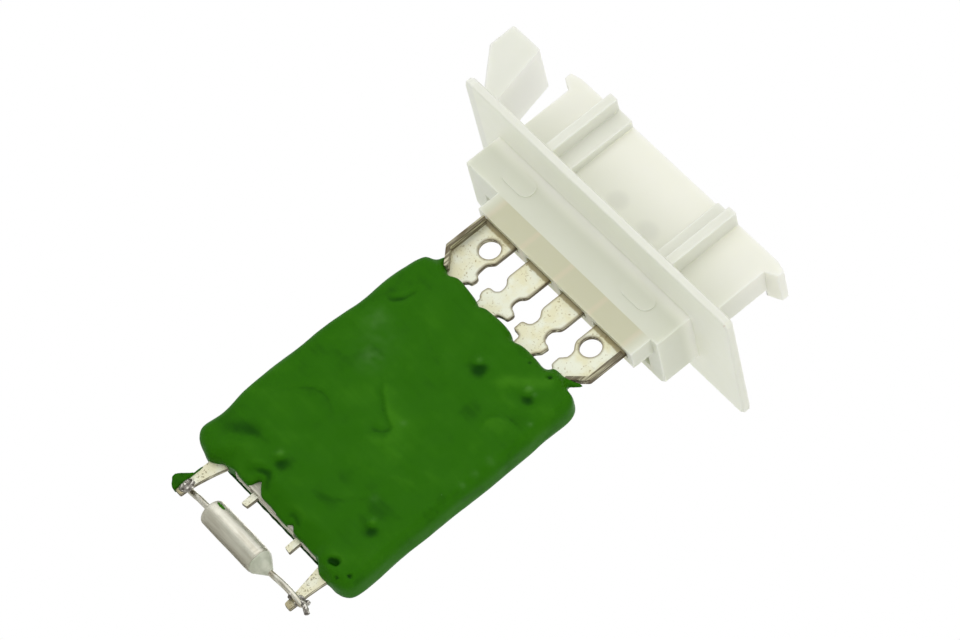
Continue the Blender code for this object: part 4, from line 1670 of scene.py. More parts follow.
    def divide(self, piece: bpy.types.Object, centre: float) -> None:
        """Cut the blade's faces into small patches, so that a mask can follow its outline.

        Args:
            piece: The blade.
            centre: Its middle along the row.
        """
        shape = bmesh.new()
        shape.from_mesh(piece.data)
        for axis, start, end in (
            (Vector((1, 0, 0)), centre - self.outer, centre + self.outer),
            (Vector((0, 0, 1)), self.neck_end, self.step_height),
        ):
            for step in range(1, int((end - start) / self.patch)):
                bmesh.ops.bisect_plane(
                    shape,
                    geom=[*shape.verts, *shape.edges, *shape.faces],
                    plane_co=axis * (start + step * self.patch) * MM,
                    plane_no=axis,
                    dist=0.0001 * MM,
                )
        shape.to_mesh(piece.data)
        shape.free()

    def mark_edge_shade(self, piece: bpy.types.Object, rims: Sequence[Sequence[Point2]]) -> None:
        """Keep masks of painted shade: of the lip's cut edge, which faces the front, and of the sheared
        rims.

        Args:
            piece: The blade.
            rims: The outlines that the shearing left, as closed loops.
        """
        points = points_of(piece.data)
        ahead = self.row_y - self.stock / 2 - points[:, 1]
        places = points[:, (0, 2)]
        gap = np.full(len(points), np.inf)
        for rim in rims:
            for start, end in zip(rim, [*rim[1:], rim[0]]):
                run = np.array(end) - np.array(start)
                share = (places - np.array(start)) @ run / max(float(run @ run), 1e-9)
                nearest = np.array(start) + np.clip(share, 0, 1)[:, None] * run
                gap = np.minimum(gap, np.linalg.norm(places - nearest, axis=1))
        rim_shade_mask = self.rim_shade_share * np.clip(self.rim_full - gap / self.rim_width, 0, 1)
        keep_values(piece.data, "rim", rim_shade_mask)
        low, high = self.cut_depth
        keep_values(piece.data, "cut", np.clip((ahead - low) / (high - low), 0, 1))

    def build_one(self, one: Terminal, tin: bpy.types.Material) -> None:
        """Make one terminal from its blade's tip to its neck in the coat.

        Args:
            one: The terminal.
            tin: The tinned strip's material.
        """
        half = self.blade / 2
        right = self.cut_side(one.right) if one.right else self.outer_side(one, Side.RIGHT)
        left = self.cut_side(one.left) if one.left else self.outer_side(one, Side.LEFT)
        top = [
            (one.centre - half, self.step_height + self.shoulder),
            (one.centre - half, self.tip_top - self.tip_taper),
            (one.centre - half + self.tip_taper, self.tip_top),
            (one.centre + half - self.tip_taper, self.tip_top),
            (one.centre + half, self.tip_top - self.tip_taper),
            (one.centre + half, self.step_height + self.shoulder),
        ]
        outline = round_corners(top + right + left[::-1], self.corner_round, 3)
        front = self.row_y - self.stock / 2
        back = self.row_y + self.stock / 2
        piece = slab(f"blade_{one.number}", outline, front, back)
        rims = [outline]
        if one.style is not Tip.CUT:
            side = Side.LEFT if one.style is Tip.FOLDED else Side.RIGHT
            boolean(piece, "UNION", [self.lip_solid(one, side)])
            place = (one.centre, self.row_y, self.hole_height)
            boolean(piece, "DIFFERENCE", [drum("hole", place, self.hole / 2, 4 * self.stock)])
            rims.append(ring_of((one.centre, self.hole_height), self.hole / 2, self.rim_sides))
        round_edges(piece, self.burr, 2, self.burr_angle)
        settle(piece, None)
        self.divide(piece, one.centre)
        flatten_broad(piece)
        self.mark_edge_shade(piece, rims)
        dress(piece, tin, "tinned_strip", f"terminal_{one.number}")

    def build(self, tin: bpy.types.Material) -> None:
        """Make all four.

        Args:
            tin: The tinned strip's material.
        """
        for one in self.terminals:
            self.build_one(one, tin)


class Mark(Enum):
    """What a line across the wet coat has left."""

    CREASE = "crease"
    LAP = "lap"
    RIDGE = "ridge"
    PIT = "pit"


@dataclass(frozen=True)
class CoatMark:
    """A mark in the coat's front face: its kind, its course in XZ, its size and its depth."""

    kind: Mark
    course: tuple[Point2, ...]
    width: float
    depth: float

    def relief(self, places: np.ndarray) -> np.ndarray:
        """Return how far the mark lifts or sinks each place.

        Args:
            places: X and Z of each point.

        Returns:
            The lift in millimetres, negative where it sinks.
        """
        if self.kind is Mark.PIT:
            gap = np.linalg.norm(places - np.array(self.course[0]), axis=1)
            rim = 0.1 * np.exp(-(((gap - 1.6 * self.width) / (0.7 * self.width)) ** 2))
            return self.depth * (rim - np.exp(-((gap / self.width) ** 2)))
        course = np.array(smooth_run([(x, z, 0.0) for x, z in self.course], 10))[:, :2]
        away = places[:, None, :] - course[None, :, :]
        gaps = np.linalg.norm(away, axis=2)
        nearest = gaps.argmin(axis=1)
        gap = gaps[np.arange(len(places)), nearest]
        along = np.gradient(course, axis=0)[nearest]
        along /= np.maximum(np.linalg.norm(along, axis=1), 1e-9)[:, None]
        offset = away[np.arange(len(places)), nearest]
        side = along[:, 0] * offset[:, 1] - along[:, 1] * offset[:, 0]
        ends = np.sin(np.pi * np.clip((nearest + 1.0) / (len(course) + 1.0), 0, 1)) ** 0.5
        if self.kind is Mark.RIDGE:
            return self.depth * ends * np.exp(-((gap / self.width) ** 2))
        if self.kind is Mark.CREASE:
            lips = 0.5 * np.exp(-(((gap - 1.8 * self.width) / self.width) ** 2))
            return self.depth * ends * (lips - np.exp(-((gap / self.width) ** 2)))
        rise = np.where(side > 0, np.exp(-gap / (4.5 * self.width)), 0.0)
        rise *= 1.0 - np.exp(-((gap / (0.6 * self.width)) ** 2))
        groove = 0.45 * np.exp(-((gap / (0.7 * self.width)) ** 2))
        return self.depth * ends * (rise - groove)


@dataclass
class CoatedCard:
    """The thick dip coat about the resistor's sandwich, with its drips, bumps and marks."""

    row_y: float = -2.6
    thickness: float = 5.3
    edge_radius: float = 1.7
    voxel: float = 0.3
    softening: int = 6
    outline: tuple[Point2, ...] = (
        (-13.5, -19.0), (-12.6, -18.6), (-11.6, -18.4), (-10.6, -18.3), (-9.7, -18.6),
        (-8.9, -18.7), (-7.7, -18.05), (-5.9, -18.2), (-3.7, -18.5), (-2.4, -19.0), (-1.7, -18.5),
        (0.2, -18.3), (2.1, -18.2), (3.7, -18.4), (4.7, -19.0), (6.4, -18.5), (8.9, -18.5),
        (11.3, -18.6), (12.5, -17.8), (14.2, -18.0), (15.1, -18.5), (16.6, -18.7), (17.5, -19.4),
        (17.95, -21.2), (17.9, -25.0), (18.15, -28.0), (18.25, -34.0), (18.15, -41.0),
        (18.15, -47.0), (18.25, -50.5), (18.45, -54.2), (18.25, -57.2), (17.35, -58.45), (15.8, -58.9),
        (14.2, -58.7), (12.6, -58.5), (8.0, -58.6), (2.0, -58.7), (-4.0, -58.6), (-8.2, -58.4),
        (-10.0, -59.2), (-11.6, -58.85), (-13.2, -58.3), (-14.3, -56.8), (-14.0, -53.6),
        (-14.6, -49.6), (-14.7, -44.5), (-14.7, -39.6), (-14.75, -35.5), (-14.3, -30.2),
        (-14.55, -25.2), (-14.3, -22.0), (-14.0, -20.2),
    )
    window: tuple[Point2, ...] = (
        (-9.3, -60.5), (-9.0, -58.9), (-8.5, -58.15), (-7.6, -58.05), (-6.6, -57.8),
        (-6.15, -57.72), (-4.9, -57.87), (-3.1, -57.9), (-2.72, -57.28), (-2.58, -56.55),
        (-2.2, -56.18), (-1.95, -56.15), (-1.7, -56.7), (-1.2, -57.2), (-0.85, -57.4),
        (-0.6, -57.75), (0.25, -57.78), (1.8, -57.75), (3.1, -57.9), (4.9, -57.95),
        (5.22, -57.73), (5.45, -57.3), (6.1, -57.3), (6.25, -57.76), (6.7, -57.95), (7.9, -57.9),
        (8.9, -57.88), (10.3, -57.94), (11.5, -57.87), (12.1, -57.9), (12.3, -58.5), (12.4, -60.5),
    )
    drip_outline: tuple[Point2, ...] = (
        (-9.95, -61.6), (-10.3, -62.1), (-11.15, -63.05), (-11.6, -63.75), (-11.5, -64.3),
        (-10.9, -64.9), (-10.3, -65.2), (-9.9, -65.2),
    )
    drip_front: float = 0.85
    drip_back: float = 0.7
    lip_z: float = -58.03
    lip_steps: int = 60
    lip_unevenness: float = 0.07
    lip_height: float = 0.7
    lip_front: float = 1.18
    lip_back: float = 1.65
    lip_level: float = -0.9
    smear_level: float = 0.6
    smear: tuple[Point3, Point3] = ((-2.9, -4.28, -62.45), (0.75, 0.14, 0.22))
    film_share: float = 0.64
    film_height: float = 3.2
    film_margin: float = 0.3
    film_ends: float = 1.6
    mound: float = 3.1
    mound_rise: float = 0.36
    nub_rise: float = 0.3
    nub_size: float = 0.55
    hollow_depth: float = 0.26
    hollow_size: float = 1.1
    rivets: tuple[Point2, ...] = ((4.78, -24.6), (12.9, -22.9), (-2.7, -52.4), (13.6, -49.9))
    hollow_shift: Point2 = (0.85, -0.72)
    rear_share: float = 0.8
    waves: tuple[Wave, ...] = (Wave(0.18, 9.0), Wave(0.05, 3.6, 3.0), Wave(0.012, 1.3, 7.0))
    streak_height: float = 0.02
    drip_skin: float = 0.14
    drip_lumps: Wave = Wave(0.1, 1.1, 4.0)
    drip_shades: Wave = Wave(0.5, 0.9, 2.0)
    drip_level: float = -0.35
    smear_lumps: Wave = Wave(0.05, 0.3, 3.0)
    # Weights of marks, waves and streaks in the relief mask, which paints shade and light into the
    # coat's colour.
    relief_gain: Point3 = (3.2, 0.9, 0.22)
    beads: tuple[tuple[Point3, Point3], ...] = (
        ((-11.4, -2.8, -18.4), (1.1, 1.5, 0.8)),
        ((-11.8, -2.9, -17.75), (0.5, 0.9, 0.7)),
        ((-11.95, -3.0, -17.2), (0.26, 0.6, 0.4)),
        ((12.4, -2.8, -18.2), (1.3, 1.7, 0.8)),
        ((13.6, -2.85, -17.8), (1.0, 0.9, 0.5)),
        ((14.5, -2.8, -17.3), (0.8, 0.7, 0.42)),
        ((15.2, -2.75, -16.85), (0.6, 0.55, 0.34)),
        ((15.6, -2.75, -16.5), (0.4, 0.5, 0.26)),
        ((-10.4, -2.6, -58.5), (1.1, 1.4, 0.75)),
        ((13.9, -2.6, -58.6), (1.6, 1.4, 0.6)),
    )
    marks: tuple[CoatMark, ...] = (
        CoatMark(
            Mark.CREASE,
            ((-11.1, -27.0), (-10.4, -26.4), (-9.8, -25.4), (-9.5, -23.8)),
            0.4,
            0.16,
        ),
        CoatMark(
            Mark.LAP,
            ((-1.9, -35.8), (-0.8, -36.9), (0.1, -37.4), (2.4, -38.7), (4.2, -39.4), (3.8, -40.3)),
            0.5,
            0.28,
        ),
        CoatMark(Mark.CREASE, ((4.6, -39.6), (3.8, -40.6), (2.2, -41.2)), 0.7, 0.14),
        CoatMark(
            Mark.LAP,
            ((-10.4, -46.0), (-8.6, -43.6), (-6.9, -42.6), (-5.2, -42.4), (-2.8, -43.4)),
            0.45,
            0.12,
        ),
        CoatMark(
            Mark.RIDGE,
            ((8.6, -25.2), (9.6, -23.9), (11.4, -22.3), (13.2, -20.6), (13.9, -19.2)),
            1.0,
            0.26,
        ),
        CoatMark(Mark.RIDGE, ((10.4, -25.4), (11.9, -25.6), (13.6, -25.2), (15.4, -23.6)), 0.8, 0.12),
        CoatMark(
            Mark.LAP,
            ((16.9, -27.2), (15.0, -27.1), (13.0, -27.6), (11.8, -29.2), (12.3, -30.8)),
            0.6,
            0.16,
        ),
        CoatMark(Mark.LAP, ((-6.4, -25.2), (-3.2, -27.2), (0.4, -28.2), (3.2, -29.6)), 0.7, 0.07),
        CoatMark(Mark.LAP, ((-13.0, -33.0), (-8.0, -33.4), (-3.4, -32.2), (0.4, -32.6)), 0.7, 0.07),
        CoatMark(Mark.RIDGE, ((6.6, -45.4), (9.6, -44.0), (12.4, -42.6), (15.2, -42.6)), 0.5, 0.06),
        CoatMark(Mark.RIDGE, ((4.6, -41.6), (8.0, -41.2), (11.2, -41.0), (14.6, -39.4)), 0.45, 0.06),
        CoatMark(Mark.CREASE, ((-10.6, -54.4), (-9.4, -53.2), (-7.4, -52.6), (-4.8, -52.6)), 1.1, 0.16),
        CoatMark(Mark.LAP, ((4.4, -52.6), (7.2, -51.4), (9.4, -49.2), (10.6, -47.0)), 0.7, 0.08),
        CoatMark(Mark.CREASE, ((-4.4, -56.6), (-3.2, -55.6), (-1.8, -55.2), (-0.9, -56.2)), 0.6, 0.2),
        CoatMark(Mark.CREASE, ((4.2, -56.7), (5.4, -56.4), (6.6, -56.9)), 0.5, 0.16),
        CoatMark(Mark.PIT, ((14.5, -56.85),), 0.55, 0.8),
        CoatMark(Mark.PIT, ((13.8, -57.2),), 0.45, 0.6),
        CoatMark(Mark.PIT, ((17.3, -56.8),), 0.28, 0.4),
        CoatMark(Mark.PIT, ((16.2, -58.1),), 0.26, 0.35),
        CoatMark(Mark.PIT, ((13.0, -19.3),), 0.4, 0.5),
        CoatMark(Mark.PIT, ((9.5, -19.8),), 0.25, 0.25),
    )
    # Painted sheen: place, size and strength of each pale highlight.
    painted_sheens: tuple[tuple[Point2, float, float], ...] = (
        ((-9.8, -30.3), 1.6, 0.2),
        ((-5.7, -34.2), 1.8, 0.24),
        ((-7.4, -32.0), 2.6, 0.1),
        ((10.7, -47.2), 0.5, 0.22),
        ((17.1, -35.6), 0.45, 0.36),
        ((17.1, -32.7), 0.55, 0.36),
        ((16.6, -25.7), 0.3, 0.36),
        ((4.9, -37.6), 0.4, 0.22),
        ((17.2, -37.8), 0.4, 0.3),
        ((12.7, -22.6), 0.45, 0.4),
        ((13.8, -22.5), 0.3, 0.3),
        ((-2.9, -52.1), 0.35, 0.34),
        ((13.3, -49.3), 0.35, 0.16),
        ((4.8, -24.4), 0.4, 0.24),
    )

    def rough_solid(self) -> bpy.types.Object:
        """Return the coat as one rough solid: slab, rivet mounds and beads, less the window.

        Returns:
            The solid.
        """
        front = self.row_y - self.thickness / 2
        back = self.row_y + self.thickness / 2
        piece = slab("dip_coat", smooth_loop(self.outline, 4), front, back)
        round_edges(piece, self.edge_radius, 5, 60)
        piece.modifiers["Round"].use_clamp_overlap = False
        settle(piece)
        helpers = [ball("bead", centre, half, 3) for centre, half in self.beads]
        swell = (self.mound, self.thickness / 2 + self.mound_rise, self.mound)
        for x, z in self.rivets:
            helpers.append(ball("mound", (x, self.row_y, z), swell, 4))
        gather(piece, helpers)
        even_mesh(piece, self.voxel)
        opening = slab("window", smooth_loop(self.window, 3), front - 1.0, back + 1.0)
        boolean(piece, "DIFFERENCE", [opening])
        return piece

    def nubs(self, places: np.ndarray) -> np.ndarray:
        """Return the relief of the rivets' ends under the coat, each with a hollow beside it.

        Args:
            places: X and Z of each point.

        Returns:
            The lift in millimetres, negative in the hollows.
        """
        lift = np.zeros(len(places))
        for place in self.rivets:
            gap = np.linalg.norm(places - np.array(place), axis=1)
            lift += self.nub_rise * np.exp(-((gap / self.nub_size) ** 2))
            beside = np.array(place) + np.array(self.hollow_shift)
            away = np.linalg.norm(places - beside, axis=1)
            lift -= self.hollow_depth * np.exp(-((away / self.hollow_size) ** 2))
        return lift

    def thin_edge(self, points: np.ndarray) -> None:
        """Draw the coat thin where it ends on the plates above the bare edge.

        Args:
            points: The coat's points in millimetres, which are moved.
        """
        level = max(z for _, z in self.window[:6]) - self.film_margin
        rise = np.clip((points[:, 2] - level) / self.film_height, 0, 1)
        soft = rise * rise * (3 - 2 * rise)
        left = np.clip((points[:, 0] - self.window[0][0]) / self.film_ends, 0, 1)
        right = np.clip((self.window[-1][0] - points[:, 0]) / self.film_ends, 0, 1)
        share = 1 - (1 - self.film_share) * (1 - soft) * left * right
        points[:, 1] = self.row_y + (points[:, 1] - self.row_y) * share

    def sculpt(self, piece: bpy.types.Object) -> None:
        """Press the coat's waves, marks and rivet ends into its mesh and keep their masks: the relief,
        which paints shade in hollows and light on rises, and the painted sheen.

        Args:
            piece: The coat.
        """
        mesh = piece.data
        points = points_of(mesh)
        normals = normals_of(mesh)
        places = points[:, (0, 2)]
        depth = points[:, 1] - self.row_y
        face = np.clip((np.abs(depth) - 1.3) / 1.0, 0, 1)
        front = np.where(depth < 0, face, 0.0)
        turned = points @ np.array(((0.8, 0.0, -0.6), (0.0, 1.0, 0.0), (0.6, 0.0, 0.8)))
        streaks = rumple(turned * np.array((0.25, 1.0, 1.0)), 2.4, 5.0)
        waves = self.streak_height * streaks
        for wave in self.waves:
            waves += wave.lift(points)
        marks = sum(mark.relief(places) for mark in self.marks)
        nubs = self.nubs(places)
        detail = front * (marks + nubs)
        detail += np.where(depth > 0, face, 0.0) * self.rear_share * nubs
        lift = waves + detail
        moved = points + normals * lift[:, None]
        self.thin_edge(moved)
        move_points(mesh, moved)
        # Painted shade and light: the relief darkens hollows, creases and the hollows beside the
        # rivets, and lightens rises.
        marked, wavy, streaked = self.relief_gain
        relief = marked * detail + wavy * waves + streaked * streaks
        keep_values(mesh, "relief", np.clip(relief, -1, 1))
        # Painted sheen: pale highlights on the rivets' tops, along the right edge and on some rises.
        speck_and_sheen = np.zeros(len(places))
        grain = 0.6 + 0.8 * rumple(points, 0.9, 11.0)
        for (x, z), size, share in self.painted_sheens:
            gap = np.linalg.norm(places - np.array((x, z)), axis=1)
            speck_and_sheen = np.maximum(speck_and_sheen, share * np.exp(-((gap / size) ** 2)) * front)
        keep_values(mesh, "speck_and_sheen", np.clip(speck_and_sheen * grain, 0, 1))

    def drip(self, green: bpy.types.Material) -> None:
        """Make the drop of coat on the outer side of the left arm's tip.

        Args:
            green: The coat's material.
        """
        front, back = self.row_y - self.drip_front, self.row_y + self.drip_back
        piece = slab("coat_drip", self.drip_outline, front, back)
        round_edges(piece, 0.4, 3, 60)
        settle(piece, None)
        gather(piece, [ball("run", (-10.0, -2.75, -61.4), (0.2, 0.42, 1.4), 3)])
        even_mesh(piece, self.drip_skin, 3)
        mesh = piece.data
        push_out(mesh, self.drip_lumps.lift(points_of(mesh)))
        points = points_of(mesh)
        keep_values(mesh, "relief", self.drip_level + self.drip_shades.lift(points))
        keep_values(mesh, "speck_and_sheen", np.zeros(len(points)))
        dress(piece, green, "green_coating", "coat_drop")

    def extras(self, green: bpy.types.Material) -> None:
        """Make the coat's rear lip under the bare edge and its smear on the fuse.

        Args:
            green: The coat's material.
        """
        start, end = self.window[1][0], self.window[-2][0]
        lower = []
        for step in range(self.lip_steps + 1):
            x = start + (end - start) * step / self.lip_steps
            uneven = self.lip_unevenness * noise.noise(Vector((x, 0.0, 0.0)))
            lower.append((x, self.lip_z + uneven))
        top = self.lip_z + self.lip_height
        outline = [*lower, (end, top), (start, top)]
        front, back = self.row_y + self.lip_front, self.row_y + self.lip_back
        lip = slab("coat_rear_lip", outline, front, back)
        round_edges(lip, 0.1, 2, 50)
        smear = ball("coat_smear", self.smear[0], self.smear[1], 4)
        for piece, level in ((lip, self.lip_level), (smear, self.smear_level)):
            settle(piece, 50)
            points = points_of(piece.data)
            if piece is smear:
                push_out(piece.data, self.smear_lumps.lift(points))
            keep_values(piece.data, "relief", np.full(len(points), level))
            keep_values(piece.data, "speck_and_sheen", np.zeros(len(points)))
            dress(piece, green, "green_coating")

    def build(self, green: bpy.types.Material) -> None:
        """Make the coat, its lip and smear, and the drip.

        Args:
            green: The coat's material.
        """
        piece = self.rough_solid()
        even_mesh(piece, self.voxel, self.softening)
        self.sculpt(piece)
        dress(piece, green, "green_coating", "coating")
        self.extras(green)
        self.drip(green)


@dataclass
class Sandwich:
    """The plates, stamping and rivets inside the coat, and the filler between the plates."""

    row_y: float = -2.6
    left: float = -6.0
    right: float = 11.0
    edge: float = -57.95
    top: float = -56.0
    half_depth: float = 0.62
    unevenness: float = 0.12
    steps: int = 12
    ties: tuple[float, float] = (-2.0, 7.2)
    tie_room: float = 0.8

    def build(self, board: bpy.types.Material, alloy: bpy.types.Material) -> None:
        """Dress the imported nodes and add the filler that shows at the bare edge.

        Args:
            board: The plates' material.
            alloy: The material of the stamping and the rivets.
        """
        for node in ("insulator_front", "insulator_back"):
            repaint(node, board)
        for node in ("resistor_grid", "rivet_1", "rivet_2", "rivet_3", "rivet_4"):
            repaint(node, alloy)
        stops = [self.left]
        for tie in self.ties:
            stops += [tie - self.tie_room, tie + self.tie_room]
        stops.append(self.right)
        front = self.row_y - self.half_depth
        back = self.row_y + self.half_depth
        for number, (start, end) in enumerate(zip(stops[::2], stops[1::2]), start=1):
            lower = []
            for step in range(self.steps + 1):
                uneven = self.unevenness * noise.noise(Vector((step * 0.7, number, 0)))
                lower.append((start + (end - start) * step / self.steps, self.edge + uneven))
            outline = [*lower, (end, self.top), (start, self.top)]
            piece = slab(f"edge_filler_{number}", outline, front, back)
            round_edges(piece, 0.06, 1, 35)
            settle(piece)
            dress(piece, board, "insulating_card")


@dataclass
class ThermalFuse:
    """The thermal fuse, its two arms and the welds between them."""

    row_y: float = -2.6
    axis_z: float = -63.5
    left: float = -4.6
    length: float = 10.8
    radius: float = 2.0
    dome: float = 0.8
    crimp: float = 0.9
    dome_steps: int = 8
    body_steps: int = 24
    cone_foot: float = 1.84
    cone_start: float = 0.12
    cone_run: float = 2.0
    cone_fall: float = 1.28
    cone_steps: int = 10
    dents: Wave = Wave(0.03, 2.6, 1.0)
    dent_depth: float = 0.035
    cone_lumps: Wave = Wave(0.05, 1.4, 6.0)
    lead_radius: float = 0.46
    tail_radius: float = 0.4
    stock: float = 0.7
    worn: float = 0.09
    left_arm: tuple[Point2, ...] = (
        (-10.15, -57.2), (-10.05, -59.3), (-10.1, -62.0), (-10.08, -64.4), (-9.9, -65.1),
        (-8.85, -65.1), (-8.75, -63.4), (-8.6, -62.4), (-8.35, -61.2), (-8.05, -59.9),
        (-7.6, -58.4), (-7.4, -57.2),
    )
    right_arm: tuple[Point2, ...] = (
        (12.1, -57.2), (12.26, -58.5), (12.75, -61.0), (13.15, -63.2), (13.4, -65.05),
        (14.5, -65.1), (14.55, -63.9), (14.5, -62.0), (14.65, -60.0), (14.8, -58.8),
        (14.9, -57.2),
    )
    left_tie: tuple[Point2, ...] = (
        (-2.28, -55.8), (-2.26, -58.6), (-2.2, -59.95), (-1.24, -59.8), (-1.2, -58.4), (-1.26, -55.8),
    )
    right_tie: tuple[Point2, ...] = (
        (6.9, -55.8), (6.93, -58.6), (6.98, -59.85), (8.0, -59.98), (7.98, -58.4), (7.94, -55.8),
    )
    weld_beads: tuple[tuple[str, Point3, Point3], ...] = (
        ("weld_left", (-9.3, -2.95, -63.6), (1.0, 0.2, 1.15)),
        ("weld_right", (14.6, -3.2, -63.4), (0.85, 0.5, 0.75)),
        ("weld_right_knot", (13.3, -3.4, -63.7), (0.42, 0.42, 0.55)),
        ("weld_right_spatter", (15.4, -2.95, -62.7), (0.34, 0.34, 0.32)),
    )
    tail: tuple[Point3, ...] = (
        (15.0, -3.45, -63.4), (15.7, -3.55, -63.4), (16.3, -3.6, -63.6), (17.0, -3.6, -63.9),
    )

    def case(self, metal: bpy.types.Material) -> None:
        """Make the drawn case: domed end, straight body, groove and rolled crimp.

        Args:
            metal: The case's material.
        """
        profile: list[Point2] = [(0.0, 0.0)]
        for step in range(1, self.dome_steps + 1):
            turn = math.pi / 2 * step / self.dome_steps
            profile.append((self.dome * (1 - math.cos(turn)), self.radius * math.sin(turn) ** 0.8))
        body_end = self.length - self.crimp
        for step in range(1, self.body_steps + 1):
            share = step / self.body_steps
            profile.append((self.dome + (body_end - self.dome) * share, self.radius))
        profile += [
            (body_end + 0.1, self.radius - 0.05),
            (body_end + 0.25, self.radius - 0.02),
            (self.length - 0.25, self.radius - 0.03),
            (self.length - 0.08, self.radius - 0.16),
            (self.length, self.radius - 0.34),
            (self.length - 0.04, self.radius - 0.5),
            (self.length - 0.04, 0.0),
        ]
        piece = lathe("fuse_can", profile, (self.left, self.row_y, self.axis_z), 72)
        push_out(piece.data, self.dents.lift(points_of(piece.data)) - self.dent_depth)
        settle(piece, 50)
        dress(piece, metal, "fuse_case_metal", "fuse_case")

    def seal(self, potting: bpy.types.Material) -> None:
        """Make the cone of potting that runs out along the lead.

        Args:
            potting: The potting's material.
        """
        profile: list[Point2] = [(-0.3, 0.0), (-0.3, 1.7), (-0.05, 1.86)]
        for step in range(self.cone_steps + 1):
            share = step / self.cone_steps
            place = self.cone_start + self.cone_run * share
            profile.append((place, self.cone_foot - self.cone_fall * share))
        profile += [(2.2, 0.5), (2.2, 0.0)]
        place = (self.left + self.length + 0.05, self.row_y, self.axis_z)
        piece = lathe("fuse_potting_cone", profile, place, 48)
        push_out(piece.data, self.cone_lumps.lift(points_of(piece.data)))
        settle(piece, 40)
        dress(piece, potting, "fuse_potting", "fuse_seal")

    def leads(self, tinned: bpy.types.Material) -> None:
        """Make the two leads, one behind its arm and one in front.

        Args:
            tinned: The leads' material.
        """
        behind = self.row_y + self.stock / 2 + self.lead_radius
        ahead = self.row_y - self.stock / 2 - self.lead_radius
        z = self.axis_z
        left = (
            (self.left + 0.3, self.row_y, z),
            (self.left - 0.9, self.row_y + 0.08, z + 0.02),
            (self.left - 2.4, self.row_y + 0.5, z + 0.06),
            (self.left - 3.9, behind, z),
            (self.left - 5.4, behind, z - 0.06),
        )
        start = self.left + self.length + 1.3
        right = (
            (start, self.row_y, z),
            (start + 1.4, self.row_y - 0.12, z + 0.02),
            (start + 3.4, ahead + 0.2, z + 0.05),
            (start + 5.2, ahead, z + 0.05),
            (15.5, ahead, z - 0.1),
        )
        for name, route, node in (
            ("lead_left", left, "fuse_lead_left"),
            ("lead_right", right, "fuse_lead_right"),
        ):
            piece = wire(name, route, self.lead_radius)
            settle(piece, 40)
            dress(piece, tinned, "tinned_wire", node)

    def arms(self, tin: bpy.types.Material) -> None:
        """Make the two arms with worn edges, each with the stub of the tie cut from beside it.

        Args:
            tin: The tinned arms' material.
        """
        front = self.row_y - self.stock / 2
        back = self.row_y + self.stock / 2
        for name, outline, tie, node in (
            ("fuse_arm_left", self.left_arm, self.left_tie, "arm_left"),
            ("fuse_arm_right", self.right_arm, self.right_tie, "arm_right"),
        ):
            piece = slab(name, round_corners(outline, 0.25, 3), front, back)
            gather(piece, [slab("tie", round_corners(tie, 0.12, 3), front, back)])
            round_edges(piece, self.worn)
            settle(piece, None)
            drop_slivers(piece)
            flatten_broad(piece)
            dress(piece, tin, "tinned_strip", node)

    def welds(self, burnt: bpy.types.Material) -> None:
        """Make the burnt beads where the leads are welded to the arms, and the lead's tail.

        Args:
            burnt: The burnt metal.
        """
        for number, (name, centre, half) in enumerate(self.weld_beads):
            piece = ball(name, centre, half, 5)
            points = points_of(piece.data)
            coarse, fine = Wave(0.14, 0.5, number), Wave(0.07, 0.22, number + 9)
            push_out(piece.data, coarse.lift(points) + fine.lift(points))
            settle(piece, 60)
            dress(piece, burnt, "tinned_wire")
        tail = wire("weld_right_tail", self.tail, self.tail_radius)
        settle(tail, 40)
        dress(tail, burnt, "tinned_wire")

    def build(
        self,
        metal: bpy.types.Material,
        potting: bpy.types.Material,
        tinned: bpy.types.Material,
        tin: bpy.types.Material,
        burnt: bpy.types.Material,
    ) -> None:
        """Make the whole fuse.

        Args:
            metal: The case's material.
            potting: The potting's material.
            tinned: The leads' material.
            tin: The tinned arms' material.
            burnt: The burnt metal of the welds.
        """
        self.case(metal)
        self.seal(potting)
        self.leads(tinned)
        self.arms(tin)
        self.welds(burnt)


